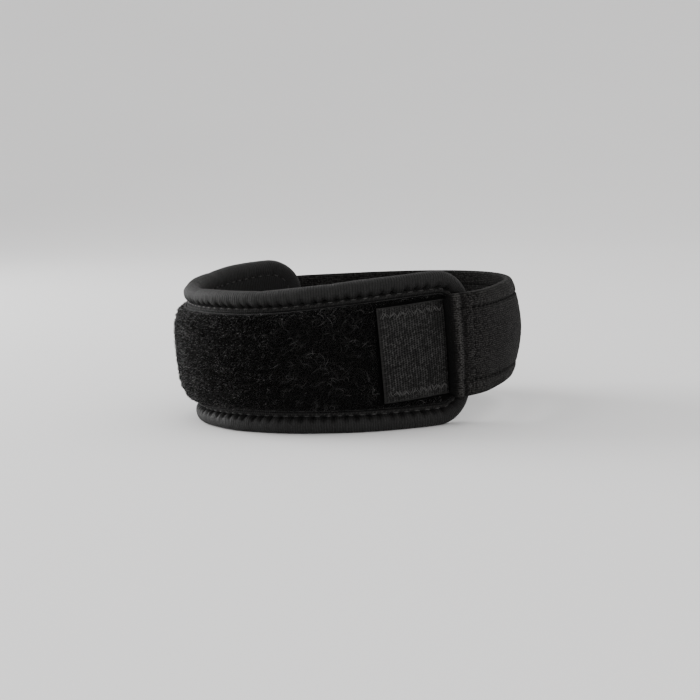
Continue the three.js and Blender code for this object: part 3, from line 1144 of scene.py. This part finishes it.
def makeTab():
    columns = np.linspace(0, tabLength, round(tabLength / tab["columnStep"]) + 1)
    shares = np.linspace(-1, 1, round(tab["height"] / tab["rowStep"]) + 1)
    mesh = bmesh.new()
    toneLayer = mesh.verts.layers.float.new("tone")
    verts, column, row = addGrid(mesh, len(columns), len(shares))
    along, across = columns[column], shares[row] * tabHalf
    weave, shade = tabWeave(along, across)
    edge = edgeRound(np.minimum(along, tabHalf - np.abs(across)), tab["edgeRadius"])
    raised = tab["thick"] - tab["relief"] + tab["relief"] * weave * edge
    raised = raised + ripples(along, across, tab["uneven"])
    mapVerts(mesh, verts, "flat", np.stack([along, across], axis=1))
    placeVerts(verts, onTab(along, across, raised))
    toneLeast, toneMore, toneRare = tab["tone"]
    # The weave's low places and holes are painted darker: painted shade
    tones = weave ** tab["toneDepth"] * (toneLeast + toneMore * shade**toneRare)
    setValues(verts, toneLayer, np.clip(tones + ripples(along, across, tab["toneGrain"]), 0, 1))
    piece = finishMesh(mesh, "hookTape", [tapeYarn])
    addBack(piece, tab["thick"] - tab["relief"])
    return piece


hookTape = makeTab()
print("tab made", len(hookTape.data.polygons), "faces")

# Pile: short tufts that stand on the panel with longer curls among them, in three bands
pile = {
    "start": 0.2,  # distance from the panel's edge
    "rootClear": 0.8,  # distance of the roots from the tab and the strap
    "curlClear": 0.4,  # curls that come nearer than this are left out
    "tufts": 15000,  # in each band
    "tuftHeight": (0.35, 0.8),
    "tuftRadius": (0.07, 0.15),
    "tuftTilt": 0.45,
    "tuftDeep": 0.12,  # how deep their roots are
    "tuftTone": (0.05, 1.0, 1.25),  # least, most and how rare the brightest are
    "brightTufts": (0.66, 0.03),  # shares of bright tufts before and after the fade along the pad; the many at the left end paint a highlight
    "curls": 2600,
    "curlLength": (1.2, 3.6),
    "curlLift": (0.3, 0.9),
    "curlArch": (0.12, 0.95),  # the part of a half wave that each rises and falls by
    "curlRaise": 0.2,
    "curlRadius": (0.045, 0.075),
    "curlSlant": (1.1, 0.8),  # mean heading and its spread
    "curlTurn": 2.2,
    "curlSteps": 6,
    "curlTone": (0.1, 0.5, 1.9),
    "brightCurls": (0.16, 0.19),
    "shortCurls": 0.3,  # share of their length where none are teased out
    "darkTone": 0.013,  # the most that any other fibre has
    "patchMean": 0.85,
    "patches": [(0.7, 9.0, 54), (0.6, 3.6, 55)],  # height, wavelength and seed
    "patchRange": (0.03, 2.0),
    "patchFadeAndWear": (0.25, 1),  # how strong the patches are before and after the change along the pad
    "grainMean": 0.7,
    "grain": (1.3, 1.0, 56),
    "grainRange": (0, 2.5),
    "highlightFadeAndWear": (66, 124),  # from here to here along the pad, ever fewer tufts are bright: a painted highlight of the light from the left fades out
    "teased": (98, 126),  # and from here to here the tab's hooks have teased out ever longer curls
    "sparedTop": (4.5, 0.4),  # the height of a strip along the top that the change reaches less, and the share of it that reaches the strip's edge
    "sparedEnd": (140, 150),  # where that strip runs out
}
pileMargin = panelInset + pile["start"]


# Whether places on the pad are under the tab or an end of the strap
def isCovered(x, z, clear):
    bearing, margin = padBearing(x), asBearing(clear)
    fromMiddle = np.abs(z - strapLevel(bearing))
    underTab = (bearing > tab["freeBearing"] - margin) & (fromMiddle < tabHalf + clear)
    underNear = (bearing > strap["nearBearing"] - margin) & (fromMiddle < strapHalf + clear)
    fromFar = np.abs(z - strapLevel(strap["farBearing"]))
    underFar = (bearing < strap["farBearing"] - 360 + margin) & (fromFar < strapHalf + clear)
    return underTab | underNear | underFar


# Thin three-sided tubes along many short paths at once: points, faces and shades
def tubeParts(paths, outward, radius, tone):
    count, steps = paths.shape[:2]
    tangent = np.gradient(paths, axis=1)
    tangent /= np.linalg.norm(tangent, axis=2, keepdims=True) + tiny
    side = np.cross(tangent, outward)
    side /= np.linalg.norm(side, axis=2, keepdims=True) + tiny
    upright = np.cross(side, tangent)
    tipShare, tipTurn = 0.45, 0.2
    taper = tipShare + (1 - tipShare) * np.sin(np.linspace(tipTurn, math.pi - tipTurn, steps))
    width = radius[:, None, None] * taper[None, :, None]
    corners = [math.radians(angle) for angle in (90, 210, 330)]
    rings = [paths + width * (side * math.cos(a) + upright * math.sin(a)) for a in corners]
    points = np.stack(rings, axis=2).reshape(-1, 3)
    ring = np.arange(steps - 1)
    quads = []
    for a, b in ((0, 1), (1, 2), (2, 0)):
        quads.append(np.stack([ring * 3 + a, ring * 3 + 3 + a, ring * 3 + 3 + b, ring * 3 + b], axis=1))
    start = np.arange(count)[:, None, None] * steps * 3
    sides = (start + np.concatenate(quads)[None]).reshape(-1, 4)
    caps = np.array([[0, 1, 2], [steps * 3 - 1, steps * 3 - 2, steps * 3 - 3]])
    ends = (start + caps[None]).reshape(-1, 3)
    return points, sides.tolist() + ends.tolist(), np.repeat(tone, steps * 3)


# Small three-sided spikes, turned alike by one slanting direction
def spikeParts(roots, tips, outward, radius, tone):
    slanting = np.array([0.3, 0.2, 0.93])
    side = np.cross(outward, slanting)
    side /= np.linalg.norm(side, axis=1, keepdims=True)
    third = np.cross(outward, side)
    corners = [math.radians(angle) for angle in (0, 120, 240)]
    base = [roots + radius[:, None] * (side * math.cos(a) + third * math.sin(a)) for a in corners]
    points = np.stack([*base, tips], axis=1).reshape(-1, 3)
    faces = np.array([[0, 1, 3], [1, 2, 3], [2, 0, 3], [2, 1, 0]])
    faces = (np.arange(len(roots))[:, None, None] * 4 + faces[None]).reshape(-1, 3)
    return points, faces.tolist(), np.repeat(tone, 4)


def pilePlaces(draw, count, lowShare, highShare):
    x = draw.uniform(pileMargin, padLength - pileMargin, count * 2)
    z = pileMargin + draw.uniform(lowShare, highShare, count * 2) * (padTopAt(x) - 2 * pileMargin)
    keep = (padInset(x, z) > pileMargin) & ~isCovered(x, z, pile["rootClear"])
    return x[keep][:count], z[keep][:count]


# How far the pile is changed within a span along the pad, from 0 to 1, and less near its top
def pileChange(x, z, span):
    sparedHeight, edgeShare = pile["sparedTop"]
    fromTop = ramp(padTopAt(x) - z, panelInset, sparedHeight)
    spared = (1 - edgeShare) * (1 - fromTop) * np.interp(x, pile["sparedEnd"], (1, 0))
    return np.interp(x, span, (0, 1)) * (1 - spared)


# Most fibres are near black, and the lighter ones gather in patches. Bright tufts fall off along the pad, so
# that their many at the left end paint a highlight.
def pileTones(draw, x, z, span, brightShares, brightTones):
    highlightFadeAndWear = pileChange(x, z, span)
    patch = np.clip(pile["patchMean"] + ripples(x, z, *pile["patches"]), *pile["patchRange"])
    grain = np.clip(pile["grainMean"] + ripples(x, z, pile["grain"]), *pile["grainRange"])
    patch = 1 + (patch - 1) * np.interp(highlightFadeAndWear, (0, 1), pile["patchFadeAndWear"])
    isBright = draw.uniform(0, 1, len(x)) < np.interp(highlightFadeAndWear, (0, 1), brightShares) * patch * grain
    least, most, rareness = brightTones
    bright = least + (most - least) * draw.uniform(0, 1, len(x)) ** rareness
    return np.where(isBright, bright, draw.uniform(0.0, pile["darkTone"], len(x)))


def makeTufts(draw, lowShare, highShare):
    x, z = pilePlaces(draw, pile["tufts"], lowShare, highShare)
    face = panelFace(x, z, padInset(x, z))
    tall = draw.uniform(*pile["tuftHeight"], len(x))
    tiltX, tiltZ = draw.normal(0, pile["tuftTilt"], (2, len(x))) * tall
    roots = onPad(x, z, face - pile["tuftDeep"])
    tips = onPad(x + tiltX, z + tiltZ, face + tall)
    radius = draw.uniform(*pile["tuftRadius"], len(x)) * millimetre
    tones = pileTones(draw, x, z, pile["highlightFadeAndWear"], pile["brightTufts"], pile["tuftTone"])
    return spikeParts(roots, tips, outwardAt(onPad, x, z), radius, tones)


def makeCurls(draw, lowShare, highShare):
    x, z = pilePlaces(draw, pile["curls"], lowShare, highShare)
    tones = pileTones(draw, x, z, pile["teased"], pile["brightCurls"], pile["curlTone"])
    heading = draw.normal(*pile["curlSlant"], len(x))
    turn = draw.normal(0, pile["curlTurn"], len(x))
    length = draw.uniform(*pile["curlLength"], len(x))
    length = length * np.interp(pileChange(x, z, pile["teased"]), (0, 1), (pile["shortCurls"], 1))
    lift = draw.uniform(*pile["curlLift"], len(x))
    radius = draw.uniform(*pile["curlRadius"], len(x)) * millimetre
    stride = length / pile["curlSteps"]
    paths, outward = [], []
    isFree = np.ones(len(x), bool)
    for share in np.linspace(0, 1, pile["curlSteps"] + 1):
        height = lift * math.sin(math.pi * np.interp(share, (0, 1), pile["curlArch"])) + pile["curlRaise"]
        x = np.clip(x, pileMargin, padLength - pileMargin)
        z = np.clip(z, pileMargin, padTopAt(x) - pileMargin)
        isFree &= ~isCovered(x, z, pile["curlClear"])
        paths.append(onPad(x, z, panelFace(x, z, padInset(x, z)) + height))
        outward.append(outwardAt(onPad, x, z))
        way = heading + turn * share
        x, z = x + np.cos(way) * stride, z + np.sin(way) * stride
    paths, outward = np.stack(paths, axis=1), np.stack(outward, axis=1)
    return tubeParts(paths[isFree], outward[isFree], radius[isFree], tones[isFree])


def makePile(name, seed, lowShare, highShare):
    draw = np.random.default_rng(seed)
    points, faces, tones = makeTufts(draw, lowShare, highShare)
    curlPoints, curlFaces, curlTones = makeCurls(draw, lowShare, highShare)
    faces = faces + [[index + len(points) for index in face] for face in curlFaces]
    piece = finishArrays(np.concatenate([points, curlPoints]), faces, name, pileFibre)
    values = piece.data.attributes.new("tone", "FLOAT", "POINT")
    values.data.foreach_set("value", np.concatenate([tones, curlTones]).astype(np.float32))
    return piece


pileBands = [
    makePile("pileLower", 51, 0.0, 0.34),
    makePile("pileMiddle", 52, 0.33, 0.67),
    makePile("pileUpper", 53, 0.66, 1.0),
]
print("pile made", sum(len(band.data.polygons) for band in pileBands), "faces")

# Stitches: one short bent bead of thread, copied along each sewn row
stitchForm = {"sides": 6, "rings": 6, "bend": 0.9}


def stitchBlank():
    mesh = bmesh.new()
    bmesh.ops.create_uvsphere(mesh, u_segments=stitchForm["sides"], v_segments=stitchForm["rings"], radius=1)
    bmesh.ops.rotate(mesh, verts=mesh.verts, matrix=Matrix.Rotation(math.pi / 2, 3, "Y"))
    points = np.array([v.co[:] for v in mesh.verts])
    mesh.verts.index_update()
    faces = [[v.index for v in face.verts] for face in mesh.faces]
    mesh.free()
    return points, faces


blankPoints, blankFaces = stitchBlank()


# Where each stitch starts and ends, which way is out, and how thick the thread is, all in metres
def sew(name, starts, ends, outward, thick, material):
    middle, along = (starts + ends) / 2, (ends - starts) / 2
    outward = outward / np.linalg.norm(outward, axis=1, keepdims=True)
    side = np.cross(outward, along)
    side /= np.linalg.norm(side, axis=1, keepdims=True)
    half = (thick / 2)[:, None, None]
    shape = blankPoints[None]
    arch = shape[:, :, 2:3] - stitchForm["bend"] * shape[:, :, 0:1] ** 2
    points = middle[:, None] + shape[:, :, 0:1] * along[:, None]
    points = points + shape[:, :, 1:2] * half * side[:, None] + arch * half * outward[:, None]
    faces = []
    for number in range(len(middle)):
        faces += [[index + number * len(blankPoints) for index in face] for face in blankFaces]
    return finishArrays(points.reshape(-1, 3), faces, name, material)


# Several rows in one piece: each row's starts, ends and outward directions, with its thickness
def sewRows(name, rows, material):
    starts, ends, outward = (np.concatenate([row[part] for row, _ in rows]) for part in range(3))
    thick = np.concatenate([np.full(len(row[0]), width * millimetre) for row, width in rows])
    return sew(name, starts, ends, outward, thick, material)


# The seam round the pad, seen outside between rim and panel, and inside on the lining
padThread = {
    "inset": 5.95,
    "raised": 0.42,  # above the filling
    "liningRaised": 0.2,
    "thick": 0.36,
    "uneven": (0.85, 1.15),  # share of that
    "share": 0.5,  # length of a stitch, as a share of the pitch
    "stray": (-0.1, 0.15),
}


# A place along the pad's seam, at an inset of its own
def seamPlace(along, inset):
    around = along % padSeamAlong[-1]
    return tuple(np.interp(around, padSeamAlong, line) for line in ringPlaces(padRing, inset))


def sewPad(name, inset, offset, side, seed):
    draw = np.random.default_rng(seed)
    pitch = padSeamAlong[-1] / padStitchCount
    middle = (np.arange(padStitchCount) + 0.5) * pitch
    half = padThread["share"] * pitch / 2
    raised = offset + side * draw.uniform(*padThread["stray"], padStitchCount)
    starts, ends = (onPad(*seamPlace(middle + way * half, inset), raised) for way in (-1, 1))
    outward = side * outwardAt(onPad, *seamPlace(middle, inset))
    thick = padThread["thick"] * draw.uniform(*padThread["uneven"], padStitchCount) * millimetre
    return sew(name, starts, ends, outward, thick, sewingThread)


padSeamThread = sewPad("padSeamThread", padThread["inset"], pad["fillThick"] + padThread["raised"], 1, 61)
liningThread = sewPad("liningThread", pad["seamInset"], padThread["liningRaised"], -1, 62)

# Thin slanting stitches over the strip beside the seam
hemThread = {
    "insets": (6.1, 6.85),
    "slants": (-0.3, 0.3),
    "pitch": 1.3,
    "stray": 0.2,
    "thick": 0.24,
    "uneven": (0.5, 1.3),
    "raised": 0.03,
}


def sewHem():
    draw = np.random.default_rng(63)
    count = round(padSeamAlong[-1] / hemThread["pitch"])
    stray = draw.uniform(-hemThread["stray"], hemThread["stray"], count)
    along = np.arange(count) * hemThread["pitch"] + stray
    ends = []
    for inset, slant in zip(hemThread["insets"], hemThread["slants"]):
        x, z = seamPlace(along + slant, inset)
        ends.append(onPad(x, z, padFace(x, inset) + pad["stripRaise"] + hemThread["raised"]))
    outward = outwardAt(onPad, *seamPlace(along, sum(hemThread["insets"]) / 2))
    thick = hemThread["thick"] * draw.uniform(*hemThread["uneven"], count) * millimetre
    return sew("hemThread", *ends, outward, thick, hemCotton)


hemSewing = sewHem()

# The strap's hems, each a straight row with a zigzag over the fold, and the rows across its fixed end
strapThread = {
    "thick": 0.34,
    "raised": 0.04,
    "gap": 0.3,  # from a stitch to its holes
    "zigzagInsets": (2.6, 4.8),
    "zigzagPitch": 1.55,
    "zigzagStart": 1.0,  # distance behind the second row
    "zigzagLean": 0.25,  # as a share of the pitch
    "zigzagThick": 0.3,
    "zigzagRaised": 0.07,
    "crossMargin": 2.4,
    "crossGap": 0.2,
    "crossThick": 0.36,
    "crossRaised": 0.08,
}


def strapStitch(startColumn, startAcross, endColumn, endAcross, raised):
    starts = onStrap(startColumn, startAcross, strapOuter(startColumn, startAcross) + raised)
    ends = onStrap(endColumn, endAcross, strapOuter(endColumn, endAcross) + raised)
    outward = outwardAt(onStrap, (startColumn + endColumn) / 2, (startAcross + endAcross) / 2)
    return starts, ends, outward


def sewStrapHems():
    pitch, gap = strap["stitchPitch"], strapThread["gap"]
    along = np.arange(math.ceil(strap["secondRow"] / pitch), math.floor(strapLength / pitch) - 1) * pitch
    zigzagPitch = strapThread["zigzagPitch"]
    zigzagStart = strap["secondRow"] + strapThread["zigzagStart"]
    zigzag = np.arange(zigzagStart, strapLength - strap["farRows"][1], zigzagPitch)
    lean = zigzagPitch * strapThread["zigzagLean"]
    rows = []
    for side in (-1, 1):
        line = np.full(len(along), side * (strapHalf - strap["stitchInset"]))
        straight = strapStitch(along + gap, line, along + pitch - gap, line, strapThread["raised"])
        insets = strapThread["zigzagInsets"]
        outer, inner = (np.full(len(zigzag), side * (strapHalf - inset)) for inset in insets)
        slanting = strapStitch(zigzag - lean, inner, zigzag + lean, outer, strapThread["zigzagRaised"])
        rows += [(straight, strapThread["thick"]), (slanting, strapThread["zigzagThick"])]
    margin = strapHalf - strapThread["crossMargin"]
    first = np.arange(-margin, margin - strap["crossPitch"], strap["crossPitch"]) + strapThread["crossGap"]
    last = first + strap["crossPitch"] - 2 * strapThread["crossGap"]
    for row in strap["farRows"]:
        line = np.full(len(first), strapLength - row)
        crossing = strapStitch(line, first, line, last, strapThread["crossRaised"])
        rows.append((crossing, strapThread["crossThick"]))
    return sewRows("strapThread", rows, hemCotton)


# The free end: two dotted rows on its ridge, a faint row behind it and a knot near the lower edge
ridgeThread = {
    "margin": 1.6,
    "pitch": 1.05,
    "rows": [  # column and shift where a stitch starts, the same where it ends, and thickness
        (2.0, 0.0, 2.5, 0.4, 0.36),
        (2.9, 0.4, 3.2, 0.8, 0.3),
        (strap["secondRow"], 0.25, strap["secondRow"], 0.75, 0.2),
    ],
    "knot": (5.6, -13.7, 0.38),  # column, height above the middle line and radius
    "knotBeads": 7,
    "knotLong": 0.6,  # length of a bead, as a share of the radius
    "knotThick": 0.55,
    "knotRaised": 0.1,
}


def sewStrapEnd():
    margin = strapHalf - ridgeThread["margin"]
    dots = np.arange(-margin, margin, ridgeThread["pitch"])
    rows = []
    for startColumn, startShift, endColumn, endShift, thick in ridgeThread["rows"]:
        starts, ends = np.full(len(dots), startColumn), np.full(len(dots), endColumn)
        rows.append((strapStitch(starts, dots + startShift, ends, dots + endShift, 0.0), thick))
    knotColumn, knotAcross, radius = ridgeThread["knot"]
    turn = np.linspace(0, 2 * math.pi, ridgeThread["knotBeads"] + 1)[:-1]
    column, across = knotColumn + radius * np.cos(turn), knotAcross + radius * np.sin(turn)
    bead = ridgeThread["knotLong"] * radius
    endColumn, endAcross = column - bead * np.sin(turn), across + bead * np.cos(turn)
    knot = strapStitch(column, across, endColumn, endAcross, ridgeThread["knotRaised"])
    return sewRows("ridgeThread", rows + [(knot, ridgeThread["knotThick"])], sewingThread)


strapSewing = sewStrapHems()
ridgeSewing = sewStrapEnd()

# The tab's zigzags: two loose rows over each other along both edges
tabThread = {
    "insets": (1.9, 3.7),
    "pitch": 1.25,
    "length": 0.85,  # as a share of the pitch
    "starts": (0.3, 0.85),  # of the two rows, behind the selvedge
    "end": 5.5,  # distance from the held end
    "stray": 0.35,
    "raised": 0.06,
    "thick": (0.16, 0.48),
}


def sewTab():
    draw = np.random.default_rng(64)
    pitch, stray, raised = tabThread["pitch"], tabThread["stray"], tab["thick"] + tabThread["raised"]
    outer, inner = tabThread["insets"]
    rows = []
    for side in (-1, 1):
        for start in tabThread["starts"]:
            along = np.arange(tab["selvedge"] + start, tabLength - tabThread["end"], pitch)
            isOdd = np.arange(len(along)) % 2 == 1
            near, far = np.where(isOdd, outer, inner), np.where(isOdd, inner, outer)
            strays = draw.uniform(-stray, stray, (len(along), 4)).T
            first = along + strays[0], side * (tabHalf - near + strays[1])
            last = along + pitch * tabThread["length"] + strays[2], side * (tabHalf - far + strays[3])
            rows.append((onTab(*first, raised), onTab(*last, raised), outwardAt(onTab, *first)))
    starts, ends, outward = (np.concatenate(part) for part in zip(*rows))
    thick = draw.uniform(*tabThread["thick"], len(starts)) * millimetre
    return sew("tabThread", starts, ends, outward, thick, sewingThread)


tabSewing = sewTab()
print("stitches made")

# Floor and backdrop in one: a flat disc whose outer part rises in a slow sweep
stage = {
    "innerRadius": 0.5,  # in metres
    "flatRadius": 1.0,
    "outerRadius": 3.4,
    "rise": 0.75,
    "rings": 16,
    "steps": 64,
    "grey": 0.76,
    "mottle": 0.02,  # how much darker and lighter it is in places
    "cloudScale": 3.0,
    "rough": 0.9,
    "specular": 0.2,
}


def makeStage():
    mesh = bmesh.new()
    flat, outer = stage["flatRadius"], stage["outerRadius"]
    profile = [(0, 0), (stage["innerRadius"], 0), (flat, 0)]
    for number in range(1, stage["rings"] + 1):
        share = number / stage["rings"]
        profile.append((flat + (outer - flat) * share, stage["rise"] * share**2))
    verts = [mesh.verts.new((radius, 0, height)) for radius, height in profile]
    edges = [mesh.edges.new(pair) for pair in zip(verts, verts[1:])]
    bmesh.ops.spin(
        mesh,
        geom=verts + edges,
        cent=(0, 0, 0),
        axis=(0, 0, 1),
        angle=2 * math.pi,
        steps=stage["steps"],
        use_merge=True,
        use_duplicate=False,
    )
    mergeEdges(mesh)
    bmesh.ops.recalc_face_normals(mesh, faces=mesh.faces)
    shine = {"Specular IOR Level": stage["specular"], "Roughness": stage["rough"]}
    material, tree, shader = newMaterial("palePaper", shine)
    place = addNode(tree, "ShaderNodeTexCoord").outputs["Object"]
    cloud = addNode(tree, "ShaderNodeTexNoise", {"Vector": place, "Scale": stage["cloudScale"]})
    dark, light = (grey(stage["grey"] * (1 + way * stage["mottle"])) for way in (-1, 1))
    feed(tree, shader.inputs["Base Color"], mixColour(tree, cloud.outputs["Fac"], dark, light))
    piece = finishMesh(mesh, "studioFloor", [material])
    if piece.data.polygons[0].normal.z < 0:
        piece.data.flip_normals()


makeStage()

# Camera: the photograph's angle, roll and framing
view = {
    "azimuth": 56.0,
    "elevation": 6.24,
    "roll": 2.21,
    "distance": 650.0,
    "focalPixels": 1846.9,
    "framePixels": 700,
    "aimPixel": (355.7, 338.6),  # where the loop's centre shows
    "sensor": 36.0,
    "clipStart": 0.01,  # in metres
}
loopMiddle = Vector(toFrame(np.array([0, 0, loop["midHeight"]])))


def headingVector(azimuth, elevation):
    turn, rise = math.radians(azimuth), math.radians(elevation)
    return Vector((math.sin(turn) * math.cos(rise), -math.cos(turn) * math.cos(rise), math.sin(rise)))


def makeCamera():
    turn, roll = math.radians(view["azimuth"]), math.radians(view["roll"])
    level = Vector((math.cos(turn), math.sin(turn), 0))
    back = headingVector(view["azimuth"], view["elevation"])
    upright = back.cross(level)
    right = level * math.cos(roll) - upright * math.sin(roll)
    up = level * math.sin(roll) + upright * math.cos(roll)
    place = loopMiddle + back * view["distance"] * millimetre
    perPixel = view["distance"] * millimetre / view["focalPixels"]
    half = view["framePixels"] / 2
    aside, above = view["aimPixel"][0] - half, half - view["aimPixel"][1]
    aim = loopMiddle - right * aside * perPixel - up * above * perPixel
    back = (place - aim).normalized()
    right = up.cross(back).normalized()
    up = back.cross(right)
    data = bpy.data.cameras.new("photoCamera")
    data.sensor_width = view["sensor"]
    data.lens = view["focalPixels"] / view["framePixels"] * view["sensor"]
    data.clip_start = view["clipStart"]
    camera = bpy.data.objects.new("photoCamera", data)
    axes = Matrix((right, up, back)).transposed().to_4x4()
    camera.matrix_world = Matrix.Translation(place) @ axes
    bpy.context.collection.objects.link(camera)
    bpy.context.scene.camera = camera


makeCamera()

# Soft lights: azimuth, elevation, distance, width, height, power and warmth
lights = {
    "leftKey": (-62, 9, 1.0, 0.7, 0.9, 23.0, 0.0),
    "rightFill": (85, 4, 1.0, 0.6, 0.14, 2.2, 0.02),
    "frontFill": (60, 8, 1.1, 0.9, 0.3, 3.4, 0.01),
    "topSoft": (20, 88, 1.2, 1.2, 1.2, 1.5, 0.0),
}
sky = {"Color": (1.0, 0.99, 0.985, 1.0), "Strength": 1.22}


def makeLights():
    for name, (azimuth, elevation, distance, width, height, power, warmth) in lights.items():
        away = headingVector(azimuth, elevation)
        data = bpy.data.lights.new(name, "AREA")
        data.shape = "RECTANGLE"
        data.size, data.size_y = width, height
        data.energy = power
        data.color = (1 + warmth, 1, 1 - warmth)
        lamp = bpy.data.objects.new(name, data)
        facing = away.to_track_quat("Z", "Y").to_matrix().to_4x4()
        lamp.matrix_world = Matrix.Translation(loopMiddle + away * distance) @ facing
        bpy.context.collection.objects.link(lamp)
    world = bpy.data.worlds.new("studio")
    bpy.context.scene.world = world
    world.use_nodes = True
    for socket, value in sky.items():
        world.node_tree.nodes["Background"].inputs[socket].default_value = value


makeLights()
print("stage, camera and lights made")

# What each piece stands for, and what it is made of
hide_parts("pad")
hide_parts("loop_panel")
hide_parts("strap")
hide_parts("hook_tab")
slots = {
    "black_knit": [padBand, backStrap, padSeamThread, liningThread, hemSewing, strapSewing, ridgeSewing],
    "black_pile": [loopPanel, *pileBands],
    "hook_tape": [hookTape, tabSewing],
}
for slotName, pieces in slots.items():
    for piece in pieces:
        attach(piece, "root")


# Length of a run along the loop, for the cut sizes of the cloth
def runLength(points):
    return float(np.sum(np.linalg.norm(np.diff(points, axis=0), axis=1)))


longSteps, shortSteps = 200, 60
panelX = np.linspace(panelInset, padLength - panelInset, longSteps)
panelZ = padTopAt(panelX) / 2
panelLong = runLength(onPad(panelX, panelZ, panelFace(panelX, panelZ, padInset(panelX, panelZ))))
panelWide = (float(padTop(0)) - 2 * panelInset) * millimetre
strapColumns = np.linspace(0, strapLength, longSteps)
strapLong = runLength(onStrap(strapColumns, np.zeros(longSteps), strap["thick"] / 2))
tabColumns = np.linspace(0, tabLength, shortSteps)
tabLong = runLength(onTab(tabColumns, np.zeros(shortSteps), tab["thick"]))
print("cut sizes", panelWide, panelLong, strapLong, tabLong)
